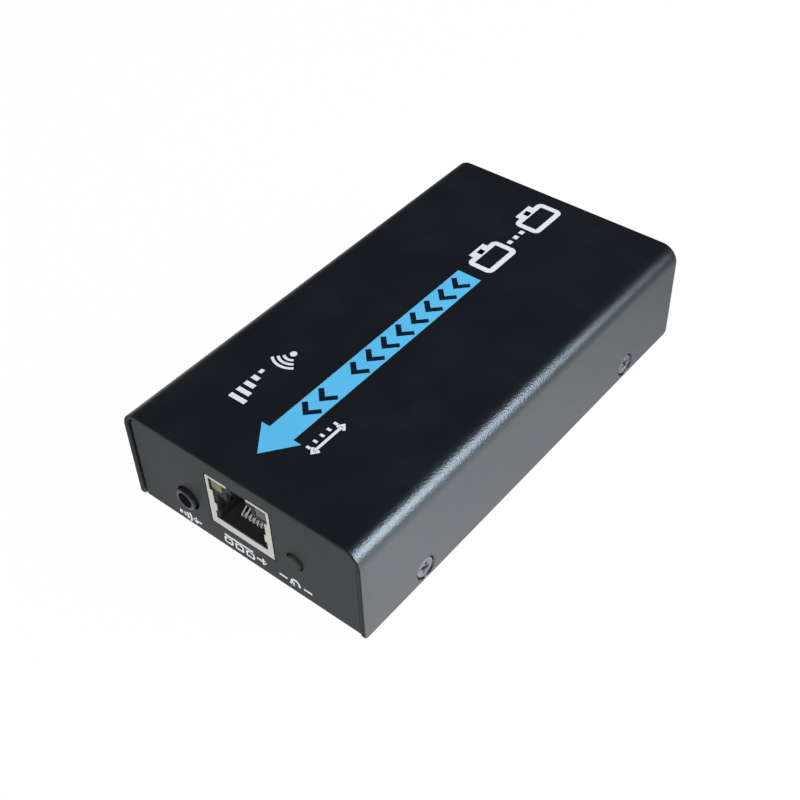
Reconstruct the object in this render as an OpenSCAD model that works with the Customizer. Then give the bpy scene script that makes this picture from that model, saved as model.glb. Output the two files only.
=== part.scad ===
/* [Case] */
// Overall width of the case
case_w = 60; // [59:1:70]
// Length of the cover from its front edge to its rear edge
case_l = 108; // [105:1:120]
// Overall height, feet included
case_h = 25; // [24.6:0.2:30]
// Thickness of the sheet steel
sheet_t = 1; // [0.8:0.1:1.2]
// Outside radius of the two long bends of the cover
bend_r = 4; // [2.5:0.5:5]
// Inside radius of the bends of the tray
tray_fold_r = 0.1; // [0.05:0.05:1]
// Height of the cover's lower edges above the underside of the tray
cover_up = 0.5; // [0.2:0.05:0.5]
// Radius of the lower corners of the cover's side walls
corner_r = 1.2; // [0.5:0.1:2]
// Depth of the end panels behind the edges of the cover
panel_recess = 0.6; // [0.3:0.1:1]
// Gap between the tray and each side wall of the cover
side_gap = 0.5; // [0.4:0.05:0.6]
// Gap between an end panel and the top of the cover
top_gap = 0.25; // [0.2:0.05:0.4]
// Height of the side tabs of the tray
tab_h = 8; // [7.5:0.5:10]
// Length of the side tabs of the tray
tab_l = 12; // [9:1:16]

/* [Feet] */
// Thickness of the rubber feet
foot_h = 0.5; // [0.4:0.1:1.2]
// Radius of the rubber feet
foot_r = 4; // [3:0.5:5]
// Distance of the feet from the sides of the case
foot_side = 9; // [8:0.5:12]
// Distance of the feet from the ends of the cover
foot_end = 9.5; // [8:0.5:11]

/* [Cover screws] */
// Radius of the thread
screw_r = 1.25; // [1.2:0.05:1.4]
// Radius of the countersunk head
screw_head_r = 2.3; // [2.1:0.05:2.35]
// Length of the screw with its head
screw_l = 4; // [3.5:0.1:4.1]
// Height of the screw above the underside of the tray
screw_up = 3.6; // [3.3:0.1:3.8]
// Distance of the screws from the ends of the cover
screw_end = 18.3; // [16:0.1:22]
// Depth of the head below the face of the cover
screw_recess = 0.3; // [0.1:0.05:0.35]
// Width of the flat floor of the dimple round the head
dimple_ring = 0.55; // [0.4:0.05:0.6]

/* [Circuit board] */
// Thickness of the board
board_t = 1.6; // [1.2:0.2:2]
// Share of the free height that lies under the board and not over the network socket
standoff_share = 0.5379; // [0.4:0.0001:0.7]
// Gap between the board and each end panel
board_end_gap = 0.3; // [0.2:0.1:0.6]
// Gap between the board and each side tab
board_side_gap = 2.1; // [2:0.1:2.6]
// Distance of the mounting holes from the sides of the board
hole_side = 4; // [3.6:0.2:4.2]
// Distance of the mounting holes from the ends of the board, behind the jacks
hole_end = 15.5; // [15.5:0.5:18]
// Radius of the board screws
board_screw_r = 1.5; // [1.25:0.05:1.5]
// Radius of the heads of the board screws
board_head_r = 2.75; // [2.4:0.05:2.9]

/* [Network socket] */
// Place of the socket across the front panel
lan_x = -0.5; // [-1:0.5:0]
// Width of the shield
lan_w = 16.4; // [15.8:0.2:17]
// Height of the shield above the board
lan_h = 13.4; // [13.2:0.2:14.4]
// Depth of the shield
lan_d = 16; // [15:0.5:17]
// Thickness of the shield
shield_t = 0.3; // [0.2:0.05:0.4]
// Distance that the socket stands out of the panel, negative where it stands back
lan_proud = 0; // [-0.5:0.1:0.3]
// Width of the plug cavity
plug_w = 11.9; // [11.8:0.1:12.2]
// Height of the plug cavity
plug_h = 7; // [6.8:0.1:7.2]
// Depth of the plug cavity
plug_d = 12.5; // [12:0.5:13]
// Height of the cavity floor above the board
plug_floor = 1.8; // [1.6:0.1:2]
// Distance between neighbouring contacts
contact_pitch = 1.02; // [0.9:0.02:1.06]

/* [Infrared jack] */
// Place of the jack across the front panel
ir_x = -15.1; // [-15.5:0.1:-13.5]
// Height of the jack's axis above the board
ir_up = 2.2; // [2.2:0.1:3]
// Radius of the bore that takes the plug
ir_bore_r = 1.8; // [1.75:0.05:1.85]
// Radius of the round nose
ir_nose_r = 2.5; // [2.4:0.1:3.1]
// Distance that the nose stands out of the panel
ir_proud = 1; // [0.6:0.1:1]
// Depth of the bore
ir_bore_l = 13; // [12:0.5:13.5]

/* [Reset button] */
// Place of the button across the front panel
reset_x = 13.2; // [12.6:0.1:14.2]
// Height of the button above the board
reset_up = 3.7; // [3.4:0.1:4.2]
// Radius of the button
reset_r = 1.8; // [1.5:0.1:1.9]
// Distance that the button stands out of the panel
reset_proud = 0.7; // [0.5:0.1:1]
// Travel of the button
reset_travel = 0.3; // [0.2:0.05:0.35]

/* [Video socket] */
// Place of the socket across the rear panel
video_x = -3; // [-5:0.5:-2]
// Width of the shell
video_w = 15; // [14.8:0.1:15.6]
// Height of the shell
video_h = 5.2; // [5.1:0.1:5.8]
// Depth of the shell
video_d = 12; // [11.5:0.5:13]
// Thickness of the shell
video_t = 0.3; // [0.25:0.05:0.35]
// Distance that the shell stands out of the panel
video_proud = 0.6; // [0.2:0.1:1]

/* [Power jack] */
// Place of the jack across the rear panel
power_x = 13; // [12:0.5:13]
// Height of the jack's axis above the board
power_up = 6.5; // [6:0.1:7]
// Radius of the barrel
power_bore_r = 3.15; // [2.9:0.05:3.2]
// Depth of the barrel
power_bore_l = 9.5; // [9:0.5:10.5]
// Radius of the centre pin
power_pin_r = 1; // [0.85:0.05:1.25]
// Radius of the round nose
power_nose_r = 4; // [3.8:0.1:4.2]
// Distance that the nose stands out of the panel
power_proud = 1; // [0.6:0.1:1]

/* [Power lamp] */
// Place of the lamp across the rear panel
lamp_x = -15; // [-16:0.5:-14]
// Height of the lamp above the board
lamp_up = 4; // [3:0.5:5]
// Radius of the lamp
lamp_r = 1.5; // [1.2:0.1:1.6]

/* [Board parts] */
// Width of the processor
processor_w = 17; // [14:1:19]
// Width of the heat sink
sink_w = 20; // [17:1:21]
// Height of the heat sink
sink_h = 8; // [5:0.5:9]
// Number of fins on the heat sink
fin_count = 8; // [5:1:9]
// Width of the video chip
video_chip_w = 12; // [10:0.5:13]
// Width of the memory chip
memory_w = 10.2; // [9:0.2:11]
// Length of the memory chip
memory_l = 22.2; // [20:0.2:24]
// Width of the line transformer
transformer_w = 16; // [14:0.5:18]
// Radius of the capacitor cans
can_r = 3.15; // [2.5:0.05:3.3]
// Height of the capacitor cans
can_h = 5.4; // [4:0.2:8]
// Width of the inductors
coil_w = 6; // [5:0.2:6.6]

/* [Hidden] */
$fn = 48;

// Overrun of every cut past the face that it leaves
cut = 1;
// Play between a piece and the hole that it drops into
fit = 0.1;
// Play between a jack or socket and its cut-out in a panel
port_fit = 0.4;
// Play between the network socket and its cut-out
lan_fit = 0.25;

// The tray and the panels
tray_w = case_w - 2 * (sheet_t + side_gap);
panel_y = case_l / 2 - panel_recess;
panel_in_y = panel_y - sheet_t;
panel_top = case_h - sheet_t - top_gap;
tray_bend_r = sheet_t + tray_fold_r;
relief = 1;

// Levels, from the surface that the case stands on
case_z = foot_h;
cover_z = case_z + cover_up;
floor_z = case_z + sheet_t;
standoff_h = (panel_top - floor_z - board_t - lan_h) * standoff_share;
board_z = floor_z + standoff_h;
board_top = board_z + board_t;
screw_z = case_z + screw_up;
screw_y = case_l / 2 - screw_end;

// The dimple round a cover screw
screw_rim = 0.1;
screw_fit = 0.15;
dimple_wall = 0.8;
head_depth = screw_recess + screw_rim;
cone_h = screw_head_r - screw_r;
seat_r = screw_head_r + screw_fit;
dimple_r = screw_head_r + dimple_ring;

// The board and its fixings
board_w = tray_w - 2 * (sheet_t + board_side_gap);
board_l = 2 * (panel_in_y - board_end_gap);
hole_x = board_w / 2 - hole_side;
hole_y = board_l / 2 - hole_end;
board_screw_l = board_t + standoff_h - 2 * fit;
board_head_h = 1.8;
cross_w = 0.7;
cross_l = 2.6;
cross_d = 0.8;
standoff_af = 5;
spigot_r = 2;
board_corner_r = 1.5;

// The network socket, from its face and from the board
lan_round = 0.5;
lan_gap = 0.05;
mouth_share = 0.82;
mouth_low = plug_floor + fit;
window_share = 0.91;
window_low = 9.6;
window_rim = 0.6;
slot_w = 5;
slot_d = 1.2;
latch_w = 6.4;
latch_h = 2.3;
latch_top_w = 3.6;
latch_top_h = 1.4;
finger_tab = 0.5;
finger_h = 2.1;
finger_low = 4.1;
finger_in = 0.45;
finger_d = 2.4;
finger_back = 1.5;
finger_t = 0.15;
contact_count = 8;
contact_t = 0.25;
contact_w = 0.3;
contact_low = 0.9;
contact_rise = 0.65;
contact_front = 3.5;
contact_knee_d = 1.5;
contact_knee_rise = 1.25;
contact_back = 10;
contact_high = 4.2;
pin_front = 11.5;
pin_back = 13.8;
pin_below = 0.7;
channel_gap = 0.4;
led_w = 3;
led_h = 2.9;
led_l = 10;
led_base_share = 0.85;
led_edge = 0.25;
leg_w = 1.4;
leg_hole_r = 0.9;
lan_leg_d = 8;
pin_hole_r = 0.4;

// The infrared jack, from its face and from the board
ir_body_w = 6;
ir_body_h = 2 * ir_up;
ir_wall = 1;
ir_lip = 0.5;
ir_leg_w = 1.2;
ir_leg_t = 0.3;
ir_leg_up = 2;
ir_leg_places = [3.5, 7.5, 11.2];

// The reset switch, from its face and from the board
reset_w = 6.2;
reset_base_h = 6;
reset_base_d = 3.3;
reset_frame_t = 0.3;
reset_frame_in = 0.5;
reset_gap = 0.15;
reset_flange = 0.35;
reset_flange_t = 0.6;
reset_back_gap = 0.1;
reset_dome_t = 0.12;
reset_dome_rise = 0.35;
reset_cavity_d = reset_back_gap + reset_flange_t + reset_travel + reset_gap + reset_dome_rise;
reset_round = 0.35;
reset_panel_gap = 0.3;
reset_leg_h = 1;

// The video socket, from its face and from the board
video_waist_share = 0.42;
video_foot_share = 0.76;
video_tongue_w = 11.6;
video_tongue_t = 1.2;
video_tongue_up = 2;
video_tongue_in = 1;
video_block_d = 8.5;
video_contact_w = 0.3;
video_contact_t = 0.15;
video_contact_pitch = 1;
video_leg_d = 3;
video_leg_back = 9;

// The power jack, from its face and from the board
power_body_w = 9;
power_body_h = 11;
power_wall = 1.6;
power_pin_in = 1.2;
power_shank_r = 0.8;
power_rivet_r = 1.6;
power_rivet_h = 0.6;
power_lip = 0.4;
power_leaf_w = 2;
power_leaf_t = 0.3;
power_leaf_in = 0.25;
power_leg_hole_r = 1.2;

// The power lamp, from its tip and from the board
lamp_proud = 0.8;
lamp_l = 4.6;
lamp_flange = 0.4;
lamp_flange_h = 1;
lamp_pitch = 2.54;
lamp_lead_w = 0.5;
lamp_lead_back = 1.6;

// Sizes shared by the board parts
chip_lift = 0.1;
chip_h = 1;
chip_draft = 0.12;
lead_t = 0.15;
lead_reach = 1;
lead_foot = 0.5;
lead_slope = 0.15;
wide_lead = 0.6;
narrow_lead = 0.35;
memory_pitch = 1.5;
flash_pitch = 1.27;
video_chip_pitch = 0.8;
transformer_pitch = 1.7;
dot_r = 0.5;
dot_d = 0.1;
pad_t = 0.5;
sink_base = 1.6;
fin_share = 0.4;
flash_w = 4;
flash_l = 5;
network_w = 7;
network_h = 0.85;
transformer_l = 10;
transformer_h = 5.4;
crystal_w = 4.2;
crystal_l = 10.4;
crystal_h = 3.4;
crystal_rim = 0.4;
crystal_rim_h = 0.5;
coil_h = 3;
coil_round = 1;
can_round = 0.5;
can_groove = 0.25;
base_h = 0.8;
base_rim = 0.2;
regulator_w = 6.5;
regulator_l = 3.5;
regulator_h = 1.6;
regulator_tab_w = 3;
small_w = 1.25;
small_l = 2;
small_h = 0.8;
small_pitch = 2.6;
resistor_w = 0.8;
resistor_l = 1.6;
resistor_h = 0.45;
resistor_pitch = 1.8;

small_row_count = 5;
small_rows = 4;
resistor_row_count = 6;
flash_lead_count = 4;
transformer_lead_count = 8;

// Footprints of the board parts
can_base_w = 2 * (can_r + base_rim);
crystal_pad_l = crystal_l + 2 * crystal_rim;
memory_span = memory_w + 2 * lead_reach;
video_chip_span = video_chip_w + 2 * lead_reach;
transformer_span = transformer_l + 2 * lead_reach;
small_row_l = (small_row_count - 1) * small_pitch + small_w;

// Four columns of parts, from the left: their widths and the lengths of what stands in each
column_widths = [can_base_w, small_l, processor_w, memory_span];
left_lengths = [crystal_pad_l, flash_l, regulator_w, regulator_w, regulator_w, can_base_w];
small_lengths = [for (i = [1 : small_rows]) small_row_l];
middle_lengths = [transformer_w, network_w, sink_w, video_chip_span];
right_lengths = [crystal_pad_l, memory_l, coil_w, coil_w];

// Sum of the first n sizes of a list
function sum_of(sizes, n) = n > 0 ? sizes[n - 1] + sum_of(sizes, n - 1) : 0;

// Gap that spreads a row of sizes evenly from start to end
function even_gap(sizes, start, end) =
    (end - start - sum_of(sizes, len(sizes))) / (len(sizes) + 1);

// Centre of size i in such a row
function spread(sizes, start, end, i) =
    start + (i + 1) * even_gap(sizes, start, end) + sum_of(sizes, i) + sizes[i] / 2;

// Room on the board between the sockets of the two ends, and between the board screws
room_front = -panel_y - lan_proud + lan_d;
room_rear = panel_y + video_proud - video_d;
screw_room = hole_y - board_head_r;

function column_x(i) = spread(column_widths, -board_w / 2, board_w / 2, i);
function left_place(i) = [column_x(0), spread(left_lengths, -screw_room, screw_room, i)];
function small_place(i) = [column_x(1), spread(small_lengths, room_front, room_rear, i)];
function middle_place(i) = [column_x(2), spread(middle_lengths, room_front, room_rear, i)];
function right_place(i) = [column_x(3), spread(right_lengths, -screw_room, screw_room, i)];

// Place beside part i of the middle column, halfway to the right column
function beside_place(i, span) = [
    (column_x(2) + span / 2 + column_x(3) - memory_span / 2) / 2,
    middle_place(i)[1]
];

// Places of the board parts
transformer_place = middle_place(0);
network_place = middle_place(1);
processor_place = middle_place(2);
video_chip_place = middle_place(3);
crystal_places = [left_place(0), right_place(0)];
flash_place = left_place(1);
regulator_places = [left_place(2), left_place(3), left_place(4)];
memory_place = right_place(1);
coil_places = [right_place(2), right_place(3)];
small_places = [for (i = [0 : small_rows - 1]) small_place(i)];
resistor_places = [
    beside_place(0, transformer_span), beside_place(1, network_w), beside_place(3, video_chip_span)
];

// Two capacitors stand by the board screws, behind the reset switch and the power lamp
screw_edge = hole_y + board_head_r;
reset_back = panel_y + reset_proud - reset_base_y() - reset_base_d;
lamp_back = panel_y + lamp_proud - lamp_l - lamp_lead_back - lamp_lead_w;
can_places = [
    left_place(5),
    [(lan_x + lan_w / 2 + board_w / 2) / 2, -(screw_edge + reset_back) / 2],
    [(video_x - video_w / 2 - board_w / 2) / 2, (screw_edge + lamp_back) / 2]
];

// Outline standing on the ground line, with its two top corners rounded
module arch(w, h, r) {
    translate([-w / 2, 0])
        square([w, h - r]);
    translate([-w / 2 + r, 0])
        square([w - 2 * r, h]);
    for (side = [-1, 1])
        translate([side * (w / 2 - r), h - r])
            circle(r);
}

// Outline standing on the ground line, with its two bottom corners rounded
module cup(w, h, r) {
    translate([-w / 2, r])
        square([w, h - r]);
    translate([-w / 2 + r, 0])
        square([w - 2 * r, h]);
    for (side = [-1, 1])
        translate([side * (w / 2 - r), r])
            circle(r);
}

// Section of sheet folded up at both ends
module folded_sheet(w, h, r) {
    difference() {
        cup(w, h, r);
        translate([0, sheet_t])
            cup(w - 2 * sheet_t, h, r - sheet_t);
    }
}

// Extrudes an outline in X and Z along Y, about Y = 0
module along_y(l) {
    rotate([90, 0, 0])
        linear_extrude(l, center = true)
            children();
}

// Extrudes an outline in X and Z from one Y to another
module from_y(y0, y1) {
    translate([0, (y0 + y1) / 2, 0])
        along_y(y1 - y0)
            children();
}

// Extrudes an outline in Y and Z along X, about X = 0
module along_x(l) {
    rotate([90, 0, 90])
        linear_extrude(l, center = true)
            children();
}

// Turns a shape made about Z so that its Z runs along Y
module lie_along_y() {
    rotate([-90, 0, 0])
        children();
}

// Block that stands on Z = 0, centred in X and Y
module block(w, l, h) {
    translate([-w / 2, -l / 2, 0])
        cube([w, l, h]);
}

// Outline of a strip of thickness t through a list of points, round at each point
module strip(points, t) {
    for (i = [0 : len(points) - 2])
        let (run = points[i + 1] - points[i])
            translate(points[i])
                rotate(atan2(run[1], run[0]))
                    translate([0, -t / 2])
                        square([norm(run), t]);
    for (point = points)
        translate(point)
            circle(t / 2);
}

// Places the four corners at plus and minus x and y
module corners(x, y) {
    for (sx = [-1, 1])
        for (sy = [-1, 1])
            translate([sx * x, sy * y, 0])
                children();
}

// Places a front port: Y = 0 at its face, Z = 0 on the board
module at_front(x, proud) {
    translate([x, -panel_y - proud, board_top])
        children();
}

// Places a rear port, turned about so that its face looks backwards
module at_rear(x, proud) {
    translate([x, panel_y + proud, board_top])
        rotate([0, 0, 180])
            children();
}

// Places a part on the board
module on_board(place) {
    translate([place[0], place[1], board_top])
        children();
}

// Depth from a port's face to the edge of the board
function edge_depth(proud) = proud + sheet_t + board_end_gap;

// The four side screws, each about its own axis with Z pointing into the case
module side_screws() {
    for (side = [-1, 1])
        for (end = [-1, 1])
            translate([side * case_w / 2, end * screw_y, screw_z])
                rotate([0, -side * 90, 0])
                    children();
}

// The room that a side screw takes in the sheet, with its countersink
module side_screw_room() {
    translate([0, 0, -cut])
        cylinder(h = cut + head_depth, r = dimple_r);
    translate([0, 0, head_depth])
        cylinder(h = cone_h, r1 = seat_r, r2 = screw_r + screw_fit);
    cylinder(h = screw_recess + screw_l + cut, r = screw_r + fit);
}

// Cross recess of a screw head, sunk from Z = 0
module cross_recess() {
    for (turn = [0, 90])
        rotate(turn)
            translate([-cross_l / 2, -cross_w / 2, -cut])
                cube([cross_l, cross_w, cut + cross_d]);
}

// Case

module top_cover() {
    inner_w = case_w - 2 * sheet_t;
    inner_h = case_h - sheet_t - cover_z;
    bulge_r = seat_r - (sheet_t - head_depth) + dimple_wall;
    color("#1b1e23")
        difference() {
            union() {
                translate([0, 0, cover_z])
                    intersection() {
                        along_y(case_l)
                            difference() {
                                arch(case_w, case_h - cover_z, bend_r);
                                translate([0, -cut])
                                    arch(inner_w, inner_h + cut, bend_r - sheet_t);
                            }
                        along_x(case_w + 2 * cut)
                            cup(case_l, case_h, corner_r);
                    }
                side_screws()
                    translate([0, 0, sheet_t / 2])
                        cylinder(h = sheet_t / 2 + side_gap, r = bulge_r);
            }
            side_screws()
                side_screw_room();
        }
}

module tray_blank() {
    translate([0, 0, case_z]) {
        intersection() {
            along_x(tray_w)
                folded_sheet(2 * panel_y, case_h, tray_bend_r);
            along_y(case_l)
                arch(tray_w, panel_top - case_z, bend_r - sheet_t - top_gap);
        }
    }
}

module tab_room() {
    room_l = tab_l + 2 * relief;
    for (side = [-1, 1])
        for (end = [-1, 1])
            translate([side * tray_w / 2, end * screw_y, case_z - cut])
                block(2 * tray_bend_r, room_l, sheet_t + 2 * cut);
}

module tray_tabs() {
    for (end = [-1, 1])
        translate([0, end * screw_y, case_z])
            along_y(tab_l)
                folded_sheet(tray_w, tab_h, tray_bend_r);
}

module base_tray() {
    color("#2a2c30")
        difference() {
            union() {
                difference() {
                    tray_blank();
                    tab_room();
                }
                tray_tabs();
            }
            side_screws()
                side_screw_room();
            corners(hole_x, hole_y)
                translate([0, 0, case_z - cut])
                    cylinder(h = sheet_t + 2 * cut, r = spigot_r + fit);
            front_cuts();
            rear_cuts();
        }
}

module front_cuts() {
    depth = ir_proud + sheet_t + cut;
    at_front(lan_x, ir_proud)
        from_y(-cut, depth)
            translate([-lan_w / 2 - lan_fit, -lan_fit])
                square([lan_w + 2 * lan_fit, lan_h + lan_fit + fit]);
    at_front(ir_x, ir_proud)
        translate([0, -cut, ir_up])
            lie_along_y()
                cylinder(h = depth + cut, r = ir_nose_r + port_fit);
    at_front(reset_x, ir_proud)
        translate([0, -cut, reset_up])
            lie_along_y()
                cylinder(h = depth + cut, r = reset_r + reset_panel_gap);
}

module rear_cuts() {
    depth = power_proud + sheet_t + cut;
    at_rear(video_x, power_proud)
        from_y(-cut, depth)
            translate([0, -port_fit])
                polygon(d_shape(video_w + 2 * port_fit, video_h + 2 * port_fit));
    at_rear(power_x, power_proud)
        translate([0, -cut, power_up])
            lie_along_y()
                cylinder(h = depth + cut, r = power_nose_r + port_fit / 2);
    at_rear(lamp_x, power_proud)
        translate([0, -cut, lamp_up])
            lie_along_y()
                cylinder(h = depth + cut, r = lamp_r + fit);
}

module cover_screws() {
    color("#c8cace")
        side_screws()
            difference() {
                union() {
                    translate([0, 0, screw_recess])
                        cylinder(h = screw_rim, r = screw_head_r);
                    translate([0, 0, head_depth])
                        cylinder(h = cone_h, r1 = screw_head_r, r2 = screw_r);
                    translate([0, 0, screw_recess])
                        cylinder(h = screw_l, r = screw_r);
                }
                translate([0, 0, screw_recess])
                    cross_recess();
            }
}

module rubber_feet() {
    color("#202020")
        corners(case_w / 2 - foot_side, case_l / 2 - foot_end)
            cylinder(h = foot_h, r = foot_r);
}

// Board and its fixings

module board_standoffs() {
    color("#c9b27a")
        corners(hole_x, hole_y)
            difference() {
                union() {
                    translate([0, 0, floor_z])
                        cylinder(h = standoff_h, d = standoff_af / cos(30), $fn = 6);
                    translate([0, 0, case_z])
                        cylinder(h = sheet_t + standoff_h / 2, r = spigot_r);
                }
                translate([0, 0, case_z - cut])
                    cylinder(h = sheet_t + standoff_h + 2 * cut, r = board_screw_r + fit);
            }
}

module board_screws() {
    color("#c8cace")
        corners(hole_x, hole_y)
            difference() {
                union() {
                    translate([0, 0, board_top])
                        cylinder(h = board_head_h, r = board_head_r);
                    translate([0, 0, board_top - board_screw_l])
                        cylinder(h = board_screw_l + board_head_h / 2, r = board_screw_r);
                }
                translate([0, 0, board_top + board_head_h])
                    mirror([0, 0, 1])
                        cross_recess();
            }
}

module circuit_board() {
    color("#1e6b3a")
        difference() {
            translate([0, 0, board_z])
                linear_extrude(board_t)
                    union() {
                        square([board_w - 2 * board_corner_r, board_l], center = true);
                        square([board_w, board_l - 2 * board_corner_r], center = true);
                        for (sx = [-1, 1])
                            for (sy = [-1, 1])
                                translate([
                                    sx * (board_w / 2 - board_corner_r),
                                    sy * (board_l / 2 - board_corner_r)
                                ])
                                    circle(board_corner_r);
                    }
            board_holes();
        }
}

module board_hole(r) {
    translate([0, 0, -board_t - cut])
        cylinder(h = board_t + 2 * cut, r = r);
}

module board_holes() {
    corners(hole_x, hole_y)
        translate([0, 0, board_top])
            board_hole(board_screw_r + fit);
    at_front(lan_x, lan_proud) {
        for (i = [0 : contact_count - 1])
            translate([contact_place(i), contact_pin_place(i), 0])
                board_hole(pin_hole_r);
        for (side = [-1, 1])
            translate([side * (lan_w - shield_t) / 2, lan_leg_d, 0])
                board_hole(leg_hole_r);
    }
    at_front(ir_x, ir_proud)
        for (i = [0 : len(ir_leg_places) - 1])
            translate([ir_leg_side(i) * (ir_body_w + ir_leg_t) / 2, ir_leg_places[i], 0])
                board_hole(leg_hole_r);
    at_front(reset_x, reset_proud)
        for (side = [-1, 1])
            translate([side * (reset_w + reset_frame_t) / 2, reset_leg_y(), 0])
                board_hole(leg_hole_r);
    at_rear(video_x, video_proud)
        for (side = [-1, 1])
            for (place = [video_leg_d, video_leg_back])
                translate([side * video_leg_x(), place, 0])
                    board_hole(leg_hole_r);
    at_rear(power_x, power_proud) {
        translate([0, power_leaf_y(), 0])
            board_hole(power_leg_hole_r);
        translate([0, power_tail_y(), 0])
            board_hole(power_leg_hole_r);
    }
    at_rear(lamp_x, lamp_proud)
        for (side = [-1, 1])
            translate([side * lamp_pitch / 2, lamp_l + lamp_lead_back, 0])
                board_hole(pin_hole_r + fit);
}

// Network socket

function contact_place(i) = (i - (contact_count - 1) / 2) * contact_pitch;
function contact_pin_place(i) = i % 2 == 0 ? pin_front : pin_back;

// Opening in the shield's face: the plug's mouth, two lamp windows and the latch slot
module shield_opening() {
    mouth_w = lan_w * mouth_share;
    window_w = lan_w * window_share;
    difference() {
        translate([-mouth_w / 2, mouth_low])
            square([mouth_w, window_low - mouth_low + fit]);
        for (side = [-1, 1])
            translate([side * mouth_w / 2 - finger_tab, finger_low])
                square([2 * finger_tab, finger_h]);
    }
    translate([-window_w / 2, window_low])
        square([window_w, lan_h - window_rim - window_low]);
    translate([-slot_w / 2, window_low])
        square([slot_w, lan_h - window_low + cut]);
}

// Spring finger of the shield, folded in from one side of the mouth
module shield_finger(side) {
    root_x = lan_w * mouth_share / 2 - finger_tab + finger_t / 2;
    bends = [
        [root_x, shield_t / 2],
        [root_x - finger_in, finger_d],
        [root_x - finger_in / 2, finger_d + finger_back]
    ];
    translate([0, 0, finger_low])
        linear_extrude(finger_h)
            polygon([
                for (bend = bends) [side * bend[0], bend[1]],
                for (i = [len(bends) - 1 : -1 : 0]) [side * (bends[i][0] + finger_t), bends[i][1]]
            ]);
}

module lan_shield() {
    inner_w = lan_w - 2 * shield_t;
    color("#cdc8b8")
        at_front(lan_x, lan_proud) {
            difference() {
                from_y(0, lan_d)
                    arch(lan_w, lan_h, lan_round);
                from_y(shield_t, lan_d - shield_t)
                    translate([-inner_w / 2, -cut])
                        square([inner_w, lan_h - shield_t + cut]);
                from_y(-cut, shield_t + cut)
                    shield_opening();
                from_y(-cut, slot_d)
                    translate([-slot_w / 2, window_low])
                        square([slot_w, lan_h]);
            }
            for (side = [-1, 1]) {
                shield_finger(side);
                translate([side * (lan_w - shield_t) / 2, lan_leg_d, -board_t - pin_below])
                    block(shield_t, leg_w, board_t + pin_below + shield_t);
            }
        }
}

// Outline of a socket lamp, narrower at its foot, grown all round by a play
module led_outline(grow) {
    top = led_w / 2 + grow;
    foot = led_base_share * led_w / 2 + grow;
    polygon([[-foot, -grow], [foot, -grow], [top, led_h + grow], [-top, led_h + grow]]);
}

module led_place(side) {
    edge = lan_w * window_share / 2 - led_edge;
    translate([side * (edge - led_w / 2), 0, lan_h - window_rim - led_h - fit])
        children();
}

module lan_housing() {
    clear = shield_t + lan_gap;
    body_w = lan_w - 2 * clear;
    body_h = lan_h - clear;
    cavity_top = plug_floor + plug_h;
    color("#17181a")
        at_front(lan_x, lan_proud)
            difference() {
                from_y(clear, lan_d - clear)
                    translate([-body_w / 2, 0])
                        square([body_w, body_h]);
                from_y(-cut, plug_d)
                    union() {
                        translate([-plug_w / 2, plug_floor])
                            square([plug_w, plug_h]);
                        translate([-latch_w / 2, cavity_top - fit])
                            square([latch_w, latch_h + fit]);
                        translate([-latch_top_w / 2, cavity_top + latch_h - fit])
                            square([latch_top_w, latch_top_h + fit]);
                    }
                translate([0, (contact_front + pin_back) / 2, -cut])
                    block(
                        contact_count * contact_pitch,
                        pin_back - contact_front + 2 * channel_gap,
                        cut + plug_floor + fit
                    );
                for (side = [-1, 1]) {
                    led_place(side)
                        from_y(-cut, clear + led_l + fit)
                            led_outline(fit);
                    finger_room(side);
                }
            }
}

// Pocket in the housing's side wall behind a spring finger
module finger_room(side) {
    pocket_w = lan_w * mouth_share / 2 - plug_w / 2 + contact_t;
    translate([side * (plug_w + pocket_w) / 2 - side * fit, 0, finger_low - fit])
        translate([0, (finger_d + finger_back + contact_t) / 2, 0])
            block(pocket_w + fit, finger_d + finger_back + contact_t, finger_h + 2 * fit);
}

module lan_contacts() {
    color("#d8b45a")
        at_front(lan_x, lan_proud)
            for (i = [0 : contact_count - 1])
                translate([contact_place(i), 0, 0])
                    along_x(contact_w)
                        strip([
                            [contact_pin_place(i), -board_t - pin_below],
                            [contact_pin_place(i), contact_low],
                            [contact_front, contact_low],
                            [contact_front, contact_low + contact_rise],
                            [
                                contact_front + contact_knee_d,
                                contact_low + contact_rise + contact_knee_rise
                            ],
                            [contact_back, contact_high]
                        ], contact_t);
}

module lan_led(side) {
    at_front(lan_x, lan_proud)
        led_place(side)
            from_y(shield_t + lan_gap, shield_t + lan_gap + led_l)
                led_outline(0);
}

module lan_led_left() {
    color("#9a9a50")
        lan_led(-1);
}

module lan_led_right() {
    color("#6f8070")
        lan_led(1);
}

// Infrared jack

function ir_leg_side(i) = i % 2 == 0 ? -1 : 1;

module ir_jack_body() {
    edge = edge_depth(ir_proud);
    body_d = ir_bore_l + ir_wall - edge;
    color("#141517")
        at_front(ir_x, ir_proud)
            difference() {
                union() {
                    translate([0, edge + body_d / 2, 0])
                        block(ir_body_w, body_d, ir_body_h);
                    translate([0, 0, ir_up])
                        lie_along_y()
                            rounded_drum(ir_nose_r, edge, ir_lip);
                }
                translate([0, 0, ir_up])
                    lie_along_y()
                        translate([0, 0, -cut])
                            cylinder(h = ir_bore_l + cut, r = ir_bore_r);
            }
}

// Drum about Z whose edge at Z = 0 is rounded by r
module rounded_drum(radius, h, r) {
    rotate_extrude()
        union() {
            translate([0, r])
                square([radius, h - r]);
            square([radius - r, h]);
            translate([radius - r, r])
                circle(r);
        }
}

module ir_jack_contacts() {
    color("#c9cdd2")
        at_front(ir_x, ir_proud)
            for (i = [0 : len(ir_leg_places) - 1])
                translate([
                    ir_leg_side(i) * (ir_body_w + ir_leg_t) / 2,
                    ir_leg_places[i],
                    -board_t - pin_below
                ])
                    block(ir_leg_t, ir_leg_w, board_t + pin_below + ir_leg_up);
}

// Reset switch, from the button's face: a steel frame, a base, a snap dome and a button

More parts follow.
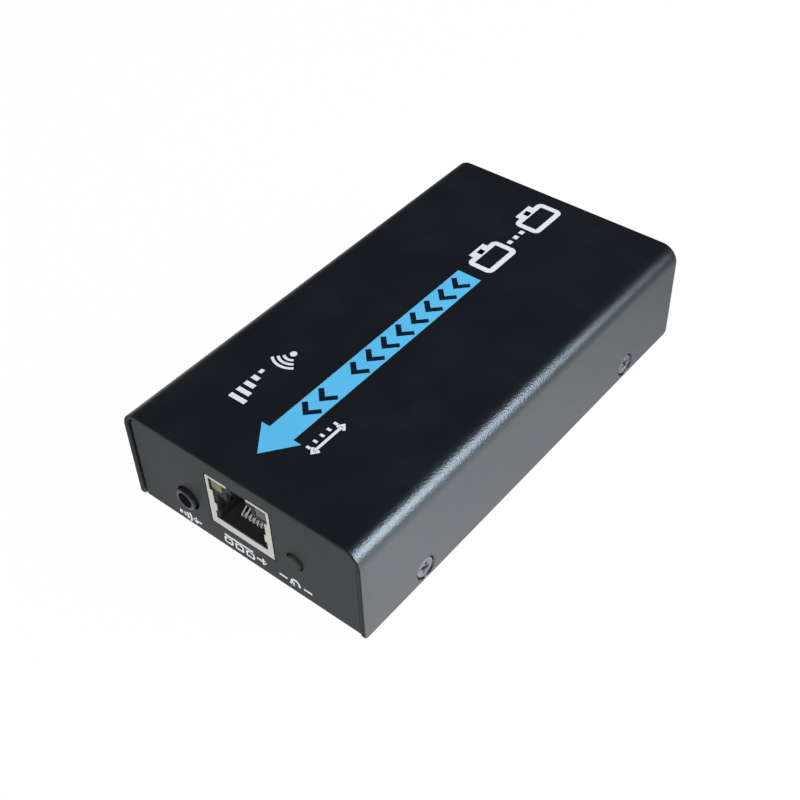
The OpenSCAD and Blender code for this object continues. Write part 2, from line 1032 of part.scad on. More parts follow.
function reset_front_y() = edge_depth(reset_proud) + reset_frame_in;
function reset_base_y() = reset_front_y() + reset_frame_t;
function reset_leg_y() = reset_base_y() + reset_base_d / 2;

module reset_frame() {
    front_y = reset_front_y();
    low = reset_up - reset_base_h / 2;
    color("#c9cdd2")
        at_front(reset_x, reset_proud) {
            difference() {
                translate([0, front_y + reset_frame_t / 2, low])
                    block(reset_w + 2 * reset_frame_t, reset_frame_t, reset_base_h);
                translate([0, front_y - cut, reset_up])
                    lie_along_y()
                        cylinder(h = reset_frame_t + 2 * cut, r = reset_r + reset_gap);
            }
            for (side = [-1, 1])
                translate([side * (reset_w + reset_frame_t) / 2, 0, 0]) {
                    translate([0, front_y + (reset_base_d + reset_frame_t) / 2, low])
                        block(reset_frame_t, reset_base_d + reset_frame_t, reset_base_h);
                    translate([0, reset_leg_y(), -board_t - pin_below])
                        block(reset_frame_t, leg_w, board_t + pin_below + low + fit);
                }
        }
}

module reset_base() {
    color("#17181a")
        at_front(reset_x, reset_proud)
            difference() {
                translate([0, reset_base_y() + reset_base_d / 2, 0])
                    block(reset_w, reset_base_d, reset_up + reset_base_h / 2);
                translate([0, reset_base_y() - cut, reset_up])
                    lie_along_y()
                        cylinder(h = cut + reset_cavity_d, r = reset_r + reset_flange + reset_gap);
            }
}

module reset_dome() {
    dome_r = reset_r + reset_flange;
    crown_r = dome_r / 2;
    color("#c9cdd2")
        at_front(reset_x, reset_proud)
            translate([0, reset_base_y() + reset_cavity_d, reset_up])
                rotate([90, 0, 0])
                    difference() {
                        cylinder(h = reset_dome_rise, r1 = dome_r, r2 = crown_r);
                        translate([0, 0, -reset_dome_t])
                            cylinder(h = reset_dome_rise, r1 = dome_r, r2 = crown_r);
                    }
}

module reset_button() {
    flange_y = reset_base_y() + reset_back_gap;
    color("#141517")
        at_front(reset_x, reset_proud)
            translate([0, 0, reset_up])
                lie_along_y()
                    union() {
                        rounded_drum(reset_r, flange_y + reset_flange_t, reset_round);
                        translate([0, 0, flange_y])
                            cylinder(h = reset_flange_t, r = reset_r + reset_flange);
                    }
}

// Video socket

// Outline of the video shell, standing on the ground line and narrower at its foot
function d_shape(w, h) = [
    [-w / 2 * video_foot_share, 0],
    [w / 2 * video_foot_share, 0],
    [w / 2, h * video_waist_share],
    [w / 2, h],
    [-w / 2, h],
    [-w / 2, h * video_waist_share]
];

function video_leg_x() = video_w / 2 * video_foot_share - video_t / 2;

module video_shell() {
    color("#c9cdd2")
        at_rear(video_x, video_proud) {
            difference() {
                from_y(0, video_d)
                    polygon(d_shape(video_w, video_h));
                from_y(-cut, video_d + cut)
                    translate([0, video_t])
                        polygon(d_shape(video_w - 2 * video_t, video_h - 2 * video_t));
            }
            for (side = [-1, 1])
                for (place = [video_leg_d, video_leg_back])
                    translate([side * video_leg_x(), place, -board_t - pin_below])
                        block(video_t, leg_w, board_t + pin_below + video_t);
        }
}

module video_insert() {
    inner_w = video_w - 2 * (video_t + lan_gap);
    inner_h = video_h - 2 * (video_t + lan_gap);
    color("#17181a")
        at_rear(video_x, video_proud) {
            from_y(video_block_d, video_d)
                translate([0, video_t + lan_gap])
                    polygon(d_shape(inner_w, inner_h));
            from_y(video_tongue_in, video_block_d)
                translate([-video_tongue_w / 2, video_tongue_up])
                    square([video_tongue_w, video_tongue_t]);
        }
}

module video_contacts() {
    upper = video_tongue_up + video_tongue_t + video_contact_t / 2;
    lower = video_tongue_up - video_contact_t / 2;
    tip = video_tongue_in + video_tongue_t / 2;
    color("#d8b45a")
        at_rear(video_x, video_proud)
            for (row = [0, 1])
                for (i = [0 : 9 - row])
                    translate([(i - (9 - row) / 2) * video_contact_pitch, 0, 0])
                        along_x(video_contact_w)
                            strip([
                                [tip, row == 0 ? upper : lower],
                                [video_block_d - video_contact_t, row == 0 ? upper : lower]
                            ], video_contact_t);
}

// Power jack

function power_back_y() = power_bore_l + power_wall;
function power_leaf_y() = power_bore_l - power_leaf_w / 2;
function power_tail_y() = power_back_y() + power_rivet_h / 2;

module power_jack_body() {
    edge = edge_depth(power_proud);
    body_d = power_back_y() - edge;
    slot_w = power_leaf_w + 2 * fit;
    color("#141517")
        at_rear(power_x, power_proud)
            difference() {
                union() {
                    translate([0, edge + body_d / 2, 0])
                        block(power_body_w, body_d, power_body_h);
                    translate([0, 0, power_up])
                        lie_along_y()
                            rounded_drum(power_nose_r, edge + fit, power_lip);
                }
                translate([0, -cut, power_up])
                    lie_along_y()
                        cylinder(h = power_bore_l + cut, r = power_bore_r);
                translate([0, 0, power_up])
                    lie_along_y()
                        cylinder(h = power_back_y() + cut, r = power_shank_r + fit / 2);
                translate([0, (edge + power_bore_l) / 2 + power_wall / 2, -cut])
                    block(slot_w, power_bore_l - edge - power_wall, cut + power_up);
            }
}

module power_jack_pin() {
    back = power_back_y();
    color("#d5d8dc")
        at_rear(power_x, power_proud)
            translate([0, 0, power_up])
                lie_along_y()
                    union() {
                        translate([0, 0, power_pin_in])
                            rounded_drum(power_pin_r, power_bore_l - power_pin_in, power_pin_r / 2);
                        translate([0, 0, power_bore_l])
                            cylinder(h = power_wall, r = power_shank_r);
                        translate([0, 0, back])
                            cylinder(h = power_rivet_h, r = power_rivet_r);
                    }
}

module power_jack_contacts() {
    edge = edge_depth(power_proud);
    crown = power_up - power_bore_r + power_leaf_in;
    rest = power_up - power_bore_r - 3 * power_leaf_t;
    tail_up = power_up - power_rivet_r;
    color("#c9cdd2")
        at_rear(power_x, power_proud) {
            along_x(power_leaf_w)
                strip([
                    [power_leaf_y(), -board_t - pin_below],
                    [power_leaf_y(), rest],
                    [(edge + power_bore_l) / 2, crown],
                    [edge + power_wall + power_leaf_t, rest]
                ], power_leaf_t);
            translate([0, power_tail_y(), -board_t - pin_below])
                block(power_leaf_w, power_leaf_t, board_t + pin_below + tail_up);
        }
}

// Power lamp

module power_lamp() {
    color("#c03028")
        at_rear(lamp_x, lamp_proud)
            translate([0, 0, lamp_up])
                lie_along_y()
                    rotate_extrude()
                        union() {
                            intersection() {
                                translate([0, lamp_r])
                                    circle(lamp_r);
                                square([lamp_r, 2 * lamp_r]);
                            }
                            translate([0, lamp_r])
                                square([lamp_r, lamp_l - lamp_r]);
                            translate([0, lamp_l - lamp_flange_h])
                                square([lamp_r + lamp_flange, lamp_flange_h]);
                        }
}

module power_lamp_leads() {
    drop_y = lamp_l + lamp_lead_back;
    color("#c9cdd2")
        at_rear(lamp_x, lamp_proud)
            for (side = [-1, 1])
                translate([side * lamp_pitch / 2, 0, 0])
                    along_x(lamp_lead_w)
                        strip([
                            [lamp_l + lamp_lead_w / 2, lamp_up],
                            [drop_y, lamp_up],
                            [drop_y, -board_t - pin_below]
                        ], lamp_lead_w);
}

// Board parts

// Moulded body with a draft on two sides and a dot at its first pin
module chip_body(w, l, h) {
    waist = w / 2;
    rim = waist - chip_draft * h;
    top = chip_lift + h;
    difference() {
        along_y(l)
            polygon([
                [-rim, chip_lift], [rim, chip_lift], [waist, chip_lift + h / 2],
                [rim, top], [-rim, top], [-waist, chip_lift + h / 2]
            ]);
        translate([-w / 2 + 3 * dot_r, l / 2 - 3 * dot_r, top - dot_d])
            cylinder(h = dot_d + cut, r = dot_r);
    }
}

// Row of formed leads along Y, reaching out towards +X from the wall of a body
module lead_row(count, pitch, width, up) {
    knee = lead_reach - lead_foot;
    for (i = [0 : count - 1])
        translate([0, (i - (count - 1) / 2) * pitch, 0])
            along_y(width)
                polygon([
                    [0, up + lead_t / 2], [knee - lead_slope, up + lead_t / 2],
                    [knee + lead_t, lead_t], [lead_reach, lead_t], [lead_reach, 0],
                    [knee, 0], [knee - lead_slope - lead_t, up - lead_t / 2],
                    [0, up - lead_t / 2]
                ]);
}

// Rows of leads on opposite sides of a body that is w wide
module lead_rows(w, count, pitch, width, up) {
    for (turn = [0, 180])
        rotate(turn)
            translate([w / 2, 0, 0])
                lead_row(count, pitch, width, up);
}

module processor() {
    color("#26282c")
        on_board(processor_place)
            block(processor_w, processor_w, chip_h + chip_lift);
}

module thermal_pad() {
    color("#9aa6b5")
        on_board(processor_place)
            translate([0, 0, chip_h + chip_lift])
                block(processor_w, processor_w, pad_t);
}

module heat_sink() {
    fin_pitch = sink_w / (fin_count - 1 + fin_share);
    fin_t = fin_pitch * fin_share;
    color("#a9adb2")
        on_board(processor_place)
            translate([0, 0, chip_h + chip_lift + pad_t])
                along_y(sink_w)
                    union() {
                        translate([-sink_w / 2, 0])
                            square([sink_w, sink_base]);
                        for (i = [0 : fin_count - 1])
                            translate([-sink_w / 2 + i * fin_pitch, 0])
                                square([fin_t, sink_h]);
                    }
}

module memory_chip() {
    color("#26282c")
        on_board(memory_place)
            chip_body(memory_w, memory_l, chip_h);
}

module flash_chip() {
    color("#26282c")
        on_board(flash_place)
            chip_body(flash_w, flash_l, chip_h);
}

module video_chip() {
    color("#26282c")
        on_board(video_chip_place)
            chip_body(video_chip_w, video_chip_w, chip_h);
}

module network_chip() {
    color("#26282c")
        on_board(network_place)
            difference() {
                block(network_w, network_w, network_h);
                translate([-network_w / 2 + 2 * dot_r, network_w / 2 - 2 * dot_r, network_h - dot_d])
                    cylinder(h = dot_d + cut, r = dot_r);
            }
}

module line_transformer() {
    color("#1d1f22")
        on_board(transformer_place)
            chip_body(transformer_l, transformer_w, transformer_h);
}

module chip_leads() {
    up = chip_lift + chip_h / 2;
    memory_leads = floor(memory_l / memory_pitch) - 1;
    video_leads = floor(video_chip_w / video_chip_pitch) - 2;
    color("#c9cdd2") {
        on_board(memory_place)
            lead_rows(memory_w, memory_leads, memory_pitch, wide_lead, up);
        on_board(flash_place)
            lead_rows(flash_w, flash_lead_count, flash_pitch, narrow_lead, up);
        on_board(video_chip_place)
            for (turn = [0, 90])
                rotate(turn)
                    lead_rows(video_chip_w, video_leads, video_chip_pitch, narrow_lead, up);
        on_board(transformer_place)
            lead_rows(
                transformer_l, transformer_lead_count, transformer_pitch, wide_lead,
                chip_lift + transformer_h / 2
            );
    }
}

module crystals() {
    color("#cfd2d6")
        for (place = crystal_places)
            on_board(place)
                union() {
                    rounded_slab(crystal_w + 2 * crystal_rim, crystal_pad_l, crystal_rim_h);
                    rounded_slab(crystal_w, crystal_l, crystal_h);
                }
}

// Slab with half-round ends
module rounded_slab(w, l, h) {
    linear_extrude(h)
        union() {
            square([w, l - w], center = true);
            for (end = [-1, 1])
                translate([0, end * (l - w) / 2])
                    circle(w / 2);
        }
}

module inductors() {
    color("#4a4c50")
        for (place = coil_places)
            on_board(place)
                linear_extrude(coil_h)
                    union() {
                        square([coil_w - 2 * coil_round, coil_w], center = true);
                        square([coil_w, coil_w - 2 * coil_round], center = true);
                        for (sx = [-1, 1])
                            for (sy = [-1, 1])
                                translate([sx * (coil_w / 2 - coil_round), sy * (coil_w / 2 - coil_round)])
                                    circle(coil_round);
                    }
}

module capacitor_cans() {
    color("#b9bdc2")
        for (place = can_places)
            on_board(place)
                translate([0, 0, base_h])
                    rotate_extrude()
                        difference() {
                            union() {
                                square([can_r, can_h - can_round]);
                                square([can_r - can_round, can_h]);
                                translate([can_r - can_round, can_h - can_round])
                                    circle(can_round);
                            }
                            translate([can_r, 2 * can_round])
                                circle(can_groove);
                        }
}

module capacitor_bases() {
    half = can_base_w / 2;
    color("#1d1f22")
        for (place = can_places)
            on_board(place)
                linear_extrude(base_h)
                    polygon([
                        [-half, -half], [half, -half], [half, half / 2],
                        [half / 2, half], [-half / 2, half], [-half, half / 2]
                    ]);
}

module regulators() {
    color("#26282c")
        for (place = regulator_places)
            on_board(place)
                union() {
                    block(regulator_l, regulator_w, regulator_h);
                    translate([-(regulator_l + lead_reach) / 2, 0, 0])
                        block(lead_reach, regulator_tab_w, 2 * lead_t);
                }
}

module ceramic_capacitors() {
    color("#b09468")
        for (place = small_places)
            on_board(place)
                for (i = [0 : small_row_count - 1])
                    translate([0, (i - (small_row_count - 1) / 2) * small_pitch, 0])
                        block(small_l, small_w, small_h);
}

module chip_resistors() {
    color("#202226")
        for (place = resistor_places)
            on_board(place)
                for (i = [0 : resistor_row_count - 1])
                    translate([0, (i - (resistor_row_count - 1) / 2) * resistor_pitch, 0])
                        block(resistor_l, resistor_w, resistor_h);
}

top_cover();
base_tray();
cover_screws();
rubber_feet();
board_standoffs();
board_screws();
circuit_board();
lan_shield();
lan_housing();
lan_contacts();
lan_led_left();
lan_led_right();
ir_jack_body();
ir_jack_contacts();
reset_frame();
reset_base();
reset_dome();
reset_button();
video_shell();
video_insert();
video_contacts();
power_jack_body();
power_jack_pin();
power_jack_contacts();
power_lamp();
power_lamp_leads();
processor();
thermal_pad();
heat_sink();
memory_chip();
flash_chip();
video_chip();
network_chip();
line_transformer();
chip_leads();
crystals();
inductors();
capacitor_cans();
capacitor_bases();
regulators();
ceramic_capacitors();
chip_resistors();
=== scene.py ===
"""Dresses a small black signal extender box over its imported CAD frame.

Sizes are written in millimetres and turned into metres when a mesh is made. The frame has Z up, the
front panel with the network socket towards -Y and its origin under the middle of the case.
"""

import logging
import math
from dataclasses import dataclass, field
from enum import Enum
from typing import Iterable, Sequence

import bmesh
import bpy
import numpy as np
from mathutils import Matrix, Vector


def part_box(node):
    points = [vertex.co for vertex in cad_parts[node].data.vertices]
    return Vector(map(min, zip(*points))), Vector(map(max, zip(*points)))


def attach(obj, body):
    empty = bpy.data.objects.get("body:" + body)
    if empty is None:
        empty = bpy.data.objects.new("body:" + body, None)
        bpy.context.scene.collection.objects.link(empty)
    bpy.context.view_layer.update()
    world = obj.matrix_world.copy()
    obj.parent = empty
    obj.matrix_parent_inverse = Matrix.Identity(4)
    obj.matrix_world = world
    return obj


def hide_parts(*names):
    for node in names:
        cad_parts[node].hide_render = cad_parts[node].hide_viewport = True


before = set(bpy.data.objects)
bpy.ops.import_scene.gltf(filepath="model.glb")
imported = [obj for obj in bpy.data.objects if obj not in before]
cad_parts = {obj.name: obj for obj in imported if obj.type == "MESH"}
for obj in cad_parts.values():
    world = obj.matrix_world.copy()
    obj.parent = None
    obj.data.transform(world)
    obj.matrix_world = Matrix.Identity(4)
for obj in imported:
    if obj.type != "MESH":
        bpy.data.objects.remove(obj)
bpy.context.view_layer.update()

MM = 0.001
CASE = "case"
RESET = "reset"
RGB = tuple[float, float, float]
Array = np.ndarray
log = logging.getLogger("extender")

# The mesh attribute for the nearness of an edge, and the nearness that marks a cut edge
WEAR_LAYER = "wear"
EDGE_NEARNESS = 0.8

# Tolerances of the meshes, in metres, radians and, for the last, millimetres
MERGE = 1e-7
COPY_MERGE = MERGE * 10
SMOOTH_ANGLE = math.radians(38)
FLAT_ANGLE = math.radians(0.6)
BEVEL_ANGLE = math.radians(32)
FINE = 1e-4

# Values that all finishes share
WEAR_MM = 0.8
DUST_PATCHES_PER_M = 90.0
DUST_ROUGHNESS = 0.9


def linear(red: float, green: float, blue: float) -> RGB:
    """Linear colour of an sRGB colour.

    Args:
        red: red from 0 to 255.
        green: green from 0 to 255.
        blue: blue from 0 to 255.

    Returns:
        The three linear values.
    """
    shares = np.array([red, green, blue]) / 255
    low = shares / 12.92
    high = ((shares + 0.055) / 1.055) ** 2.4
    return tuple(float(v) for v in np.where(shares <= 0.04045, low, high))


def node_box(node: str) -> tuple[Array, Array]:
    """Lowest and highest corner of a CAD node, in millimetres."""
    low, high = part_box(node)
    return np.array(low) / MM, np.array(high) / MM


class Graph:
    """A node tree that is filled by short calls."""

    def __init__(self, tree: bpy.types.NodeTree) -> None:
        """Keeps the tree that the calls fill."""
        self.tree = tree

    def node(self, kind: str, sockets: dict | None = None, **settings: object) -> bpy.types.Node:
        """Adds a node.

        Args:
            kind: the node's type name.
            sockets: for each input, by name or number, a value or another node's output.
            **settings: the node's own properties.

        Returns:
            The new node.
        """
        node = self.tree.nodes.new(kind)
        for key, value in settings.items():
            setattr(node, key, value)
        for key, value in (sockets or {}).items():
            if isinstance(value, bpy.types.NodeSocket):
                self.tree.links.new(value, node.inputs[key])
            else:
                node.inputs[key].default_value = value
        return node

    def math(self, operation: str, first: object, second: object = 0.0) -> bpy.types.NodeSocket:
        """Result of a Math node on two values or outputs."""
        return self.node("ShaderNodeMath", {0: first, 1: second}, operation=operation).outputs[0]

    def step(self, value: object, low: object, high: object) -> bpy.types.NodeSocket:
        """Smooth step of a value from 0 at low to 1 at high."""
        sockets = {"Value": value, "From Min": low, "From Max": high}
        return self.node("ShaderNodeMapRange", sockets, interpolation_type="SMOOTHSTEP").outputs[0]

    def mix(self, factor: object, first: object, second: object) -> bpy.types.NodeSocket:
        """Blend of two numbers."""
        return self.node("ShaderNodeMix", {0: factor, 2: first, 3: second}).outputs[0]

    def blend(self, factor: object, first: object, second: object) -> bpy.types.NodeSocket:
        """Blend of two colours."""
        sockets = {0: factor, 6: first, 7: second}
        return self.node("ShaderNodeMix", sockets, data_type="RGBA").outputs[2]


def effect(
    name: str, takes: dict[str, str], gives: dict[str, str]
) -> tuple[Graph, bpy.types.Node, bpy.types.Node]:
    """Starts a shader node group.

    Args:
        name: the group's name.
        takes: each input's name and socket type, without its NodeSocket prefix.
        gives: each output's name and socket type, likewise.

    Returns:
        The group's graph, its input node and its output node.
    """
    tree = bpy.data.node_groups.new(name, "ShaderNodeTree")
    for kinds, direction in ((takes, "INPUT"), (gives, "OUTPUT")):
        for socket, kind in kinds.items():
            tree.interface.new_socket(name=socket, in_out=direction, socket_type="NodeSocket" + kind)
    graph = Graph(tree)
    return graph, graph.node("NodeGroupInput"), graph.node("NodeGroupOutput")


def size_to_scale(graph: Graph, size_mm: object) -> bpy.types.NodeSocket:
    """Texture scale, in features per metre, of a feature size in millimetres."""
    return graph.math("DIVIDE", 1 / MM, size_mm)


def make_grain_effect() -> bpy.types.NodeTree:
    """Group for the fine bumps of a coating: a height that is a noise of the given grain size.

    Returns:
        The group.
    """
    graph, source, sink = effect(
        Effect.GRAIN.value, {"Vector": "Vector", "Size": "Float"}, {"Height": "Float"}
    )
    scale = size_to_scale(graph, source.outputs["Size"])
    noise = graph.node(
        "ShaderNodeTexNoise",
        {"Vector": source.outputs["Vector"], "Scale": scale, "Detail": 2.0, "Roughness": 0.55},
    )
    graph.tree.links.new(noise.outputs["Fac"], sink.inputs["Height"])
    return graph.tree


def make_mottle_effect() -> bpy.types.NodeTree:
    """Group for slow variation over a surface: a soft noise stretched to run from 0 to 1.

    Returns:
        The group.
    """
    graph, source, sink = effect(
        Effect.MOTTLE.value, {"Vector": "Vector", "Size": "Float"}, {"Value": "Float"}
    )
    noise = graph.node(
        "ShaderNodeTexNoise",
        {
            "Vector": source.outputs["Vector"],
            "Scale": size_to_scale(graph, source.outputs["Size"]),
            "Detail": 3.0,
            "Roughness": 0.6,
        },
    )
    graph.tree.links.new(graph.step(noise.outputs["Fac"], 0.3, 0.7), sink.inputs["Value"])
    return graph.tree


def make_wear_effect() -> bpy.types.NodeTree:
    """Group for rubbed edges: a mask that follows the nearness of an edge, broken by a noise.

    Returns:
        The group.
    """
    graph, source, sink = effect(
        Effect.WEAR.value,
        {"Vector": "Vector", "Nearness": "Float", "Size": "Float"},
        {"Mask": "Float"},
    )
    noise = graph.node(
        "ShaderNodeTexNoise",
        {
            "Vector": source.outputs["Vector"],
            "Scale": size_to_scale(graph, source.outputs["Size"]),
            "Detail": 4.0,
        },
    )
    broken = graph.math("SUBTRACT", noise.outputs["Fac"], 1.0)
    rubbed = graph.math("ADD", source.outputs["Nearness"], broken)
    graph.tree.links.new(graph.step(rubbed, 0.2, 0.6), sink.inputs["Mask"])
    return graph.tree


def make_dust_effect() -> bpy.types.NodeTree:
    """Group for thin dust: a mask that is higher where the surface looks up, in cloudy patches.

    Returns:
        The group.
    """
    graph, source, sink = effect(
        Effect.DUST.value, {"Vector": "Vector", "Amount": "Float"}, {"Mask": "Float"}
    )
    cloud = graph.node(
        "ShaderNodeTexNoise",
        {"Vector": source.outputs["Vector"], "Scale": DUST_PATCHES_PER_M, "Detail": 5.0},
    )
    normal = graph.node("ShaderNodeNewGeometry").outputs["Normal"]
    upward = graph.node("ShaderNodeSeparateXYZ", {0: normal}).outputs["Z"]
    patches = graph.step(cloud.outputs["Fac"], 0.45, 0.75)
    settled = graph.math("MULTIPLY", graph.step(upward, 0.2, 1.0), patches)
    graph.tree.links.new(graph.math("MULTIPLY", settled, source.outputs["Amount"]), sink.inputs["Mask"])
    return graph.tree


class Effect(Enum):
    """The shared effects, by the name of their node group."""

    GRAIN = "coating_grain"
    MOTTLE = "slow_mottle"
    WEAR = "rubbed_edges"
    DUST = "thin_dust"

    def place(self, graph: Graph, sockets: dict) -> bpy.types.Node:
        """Puts this effect's group in a material's graph."""
        return graph.node("ShaderNodeGroup", sockets, node_tree=bpy.data.node_groups[self.value])


@dataclass(frozen=True)
class Finish:
    """A surface finish, with the variation that breaks it up."""

    name: str
    colour: RGB
    mottled: RGB
    roughness: float = 0.4
    roughness_spread: float = 0.08
    metallic: float = 0.0
    specular: float = 0.5
    index: float = 1.5
    grain_mm: float = 0.3
    grain_height_mm: float = 0.004
    mottle_mm: float = 8.0
    worn: RGB | None = None
    dust: float = 0.0
    coat: float = 0.0
    coat_roughness: float = 0.2
    subsurface: float = 0.0

    def material(self) -> bpy.types.Material:
        """The finish's material, made at its first use."""
        made = bpy.data.materials.get(self.name)
        return made if made else self.make()

    def make(self) -> bpy.types.Material:
        """Builds the material from the shared effects and one Principled shader.

        Returns:
            The new material.
        """
        material = bpy.data.materials.new(self.name)
        material.use_nodes = True
        material.diffuse_color = (*self.colour, 1)
        material.node_tree.nodes.clear()
        graph = Graph(material.node_tree)
        place = graph.node("ShaderNodeTexCoord").outputs["Object"]
        grain = Effect.GRAIN.place(graph, {"Vector": place, "Size": self.grain_mm}).outputs["Height"]
        mottle = Effect.MOTTLE.place(graph, {"Vector": place, "Size": self.mottle_mm}).outputs["Value"]
        colour = graph.blend(mottle, (*self.colour, 1), (*self.mottled, 1))
        spread = self.roughness_spread
        rough = graph.mix(mottle, self.roughness - spread, self.roughness + spread)
        if self.worn:
            near = graph.node("ShaderNodeAttribute", attribute_name=WEAR_LAYER).outputs["Fac"]
            rubbed = Effect.WEAR.place(graph, {"Vector": place, "Nearness": near, "Size": WEAR_MM})
            colour = graph.blend(rubbed.outputs["Mask"], colour, (*self.worn, 1))
        if self.dust:
            dust = Effect.DUST.place(graph, {"Vector": place, "Amount": self.dust}).outputs["Mask"]
            colour = graph.blend(dust, colour, (*DUST_COLOUR, 1))
            rough = graph.mix(dust, rough, DUST_ROUGHNESS)
        bump = graph.node(
            "ShaderNodeBump",
            {"Height": grain, "Distance": self.grain_height_mm * MM, "Strength": 1.0},
        )
        shader = graph.node(
            "ShaderNodeBsdfPrincipled",
            {
                "Base Color": colour,
                "Roughness": rough,
                "Normal": bump.outputs["Normal"],
                "Metallic": self.metallic,
                "IOR": self.index,
                "Specular IOR Level": self.specular,
                "Coat Weight": self.coat,
                "Coat Roughness": self.coat_roughness,
                "Subsurface Weight": self.subsurface,
                "Subsurface Scale": MM,
            },
        )
        graph.node("ShaderNodeOutputMaterial", {"Surface": shader.outputs["BSDF"]})
        return material


DUST_COLOUR = linear(150, 148, 142)

COVER_COAT = Finish(
    "cover_powder_coat", linear(14, 16, 19), linear(16, 18, 21), roughness=0.32, roughness_spread=0.03,
    specular=1.0, index=1.75, grain_mm=0.36, grain_height_mm=0.075, mottle_mm=22,
    worn=linear(34, 36, 40), dust=0.01,
)
CUT_EDGE = Finish(
    "cover_cut_edge", linear(30, 32, 34), linear(36, 38, 40), roughness=0.6, specular=0.3,
    grain_mm=0.35, grain_height_mm=0.005, mottle_mm=3,
)
# Painted shade: a near-black, dull finish on the walls of the panels' holes, in place of the shadow in the
# gaps round the openings
HOLE_PAINTED_SHADE = Finish(
    "panel_hole_painted_shade", linear(10, 10, 11), linear(14, 14, 15), roughness=0.8, specular=0.1,
    grain_mm=0.35, grain_height_mm=0.005, mottle_mm=3,
)
TRAY_COAT = Finish(
    "tray_powder_coat", linear(50, 52, 53), linear(54, 56, 57), roughness=0.6, roughness_spread=0.05,
    specular=0.25, grain_mm=0.35, grain_height_mm=0.005, mottle_mm=25, dust=0.01,
)
PLATED_STEEL = Finish(
    "plated_steel", linear(160, 162, 168), linear(136, 139, 147), roughness=0.3, metallic=1.0,
    grain_mm=0.2, grain_height_mm=0.001, mottle_mm=1.5,
)
RUBBER = Finish(
    "foot_rubber", linear(36, 36, 37), linear(44, 44, 45), roughness=0.85, specular=0.25,
    grain_mm=0.25, grain_height_mm=0.01, dust=0.15,
)
TINNED_STEEL = Finish(
    "tinned_shield", linear(222, 216, 202), linear(210, 203, 187), roughness=0.42, roughness_spread=0.06,
    metallic=1.0, grain_mm=0.5, grain_height_mm=0.0015, mottle_mm=4,
)
# Painted shade: a darker, bluish copy of the shield's tin, for its faces inside the socket's mouth
TIN_PAINTED_SHADE = Finish(
    "shield_inside_painted_shade", linear(126, 130, 142), linear(104, 108, 120), roughness=0.38, roughness_spread=0.05,
    metallic=1.0, grain_mm=0.5, grain_height_mm=0.0015, mottle_mm=4,
)
SOCKET_PLASTIC = Finish(
    "socket_plastic", linear(6, 6, 9), linear(8, 8, 11), roughness=0.45, specular=0.3, grain_mm=0.2,
    grain_height_mm=0.002, mottle_mm=5,
)
JACK_PLASTIC = Finish(
    "jack_plastic", linear(13, 14, 17), linear(18, 19, 22), roughness=0.35, grain_mm=0.25,
    grain_height_mm=0.002, mottle_mm=4, dust=0.01, specular=0.22,
)
BUTTON_PLASTIC = Finish(
    "button_plastic", linear(84, 87, 90), linear(88, 91, 94), roughness=0.4, grain_mm=0.25,
    grain_height_mm=0.003, mottle_mm=3, specular=0.45,
)
SILVERED = Finish(
    "silvered_contact", linear(232, 234, 238), linear(216, 218, 224), roughness=0.35, metallic=0.3,
    grain_mm=0.3, grain_height_mm=0.0008, mottle_mm=2,
)
GILT = Finish(
    "gilt_contact", linear(232, 214, 166), linear(214, 190, 130), roughness=0.22, metallic=1.0,
    grain_mm=0.3, grain_height_mm=0.0008, mottle_mm=2,
)
NICKEL = Finish(
    "nickel", linear(206, 206, 204), linear(188, 188, 188), roughness=0.25, metallic=1.0,
    grain_mm=0.4, grain_height_mm=0.001, mottle_mm=3,
)
AMBER_LENS = Finish(
    "amber_lens", linear(108, 112, 56), linear(90, 94, 44), roughness=0.3, subsurface=0.4,
    grain_mm=0.4, grain_height_mm=0.002, mottle_mm=3,
)
GREEN_LENS = Finish(
    "green_lens", linear(54, 66, 56), linear(46, 58, 48), roughness=0.3, subsurface=0.4,
    grain_mm=0.4, grain_height_mm=0.002, mottle_mm=3,
)
RED_LENS = Finish(
    "red_lens", linear(178, 40, 34), linear(150, 28, 26), roughness=0.18, subsurface=0.5,
    grain_mm=0.4, grain_height_mm=0.001, mottle_mm=3, coat=0.5,
)
BLUE_INK = Finish(
    "blue_ink", linear(106, 208, 255), linear(100, 202, 252), roughness=0.55, specular=0.3,
    grain_mm=0.42, grain_height_mm=0.004, mottle_mm=12,
)
WHITE_INK = Finish(
    "white_ink", linear(250, 252, 255), linear(244, 248, 254), roughness=0.55, specular=0.3,
    grain_mm=0.42, grain_height_mm=0.004, mottle_mm=9,
)
DARK_INK = Finish(
    "dark_ink", linear(20, 34, 50), linear(16, 28, 42), roughness=0.6, specular=0.2,
    grain_mm=0.42, grain_height_mm=0.004, mottle_mm=9,
)
BRASS = Finish(
    "brass", linear(206, 178, 112), linear(186, 156, 92), roughness=0.3, metallic=1.0,
    grain_mm=0.3, grain_height_mm=0.001, mottle_mm=2,
)
SOLDER_MASK = Finish(
    "solder_mask", linear(26, 92, 52), linear(20, 80, 44), roughness=0.3, grain_mm=0.9,
    grain_height_mm=0.006, mottle_mm=6, coat=0.3,
)
CHIP_RESIN = Finish(
    "chip_resin", linear(36, 37, 40), linear(44, 45, 48), roughness=0.6, grain_mm=0.12,
    grain_height_mm=0.003, mottle_mm=3, dust=0.05,
)
THERMAL_PAD = Finish(
    "thermal_pad", linear(140, 152, 170), linear(128, 140, 158), roughness=0.85, specular=0.3,
    grain_mm=0.3, grain_height_mm=0.01, mottle_mm=4,
)
SINK_ALUMINIUM = Finish(
    "sink_aluminium", linear(172, 174, 178), linear(158, 160, 165), roughness=0.38, metallic=1.0,
    grain_mm=0.15, grain_height_mm=0.003, mottle_mm=5,
)
CAN_ALUMINIUM = Finish(
    "can_aluminium", linear(206, 208, 212), linear(190, 192, 198), roughness=0.3, metallic=1.0,
    grain_mm=0.3, grain_height_mm=0.002, mottle_mm=3,
)
FERRITE = Finish(
    "ferrite", linear(70, 72, 76), linear(58, 60, 64), roughness=0.7, grain_mm=0.2,
    grain_height_mm=0.006, mottle_mm=2,
)
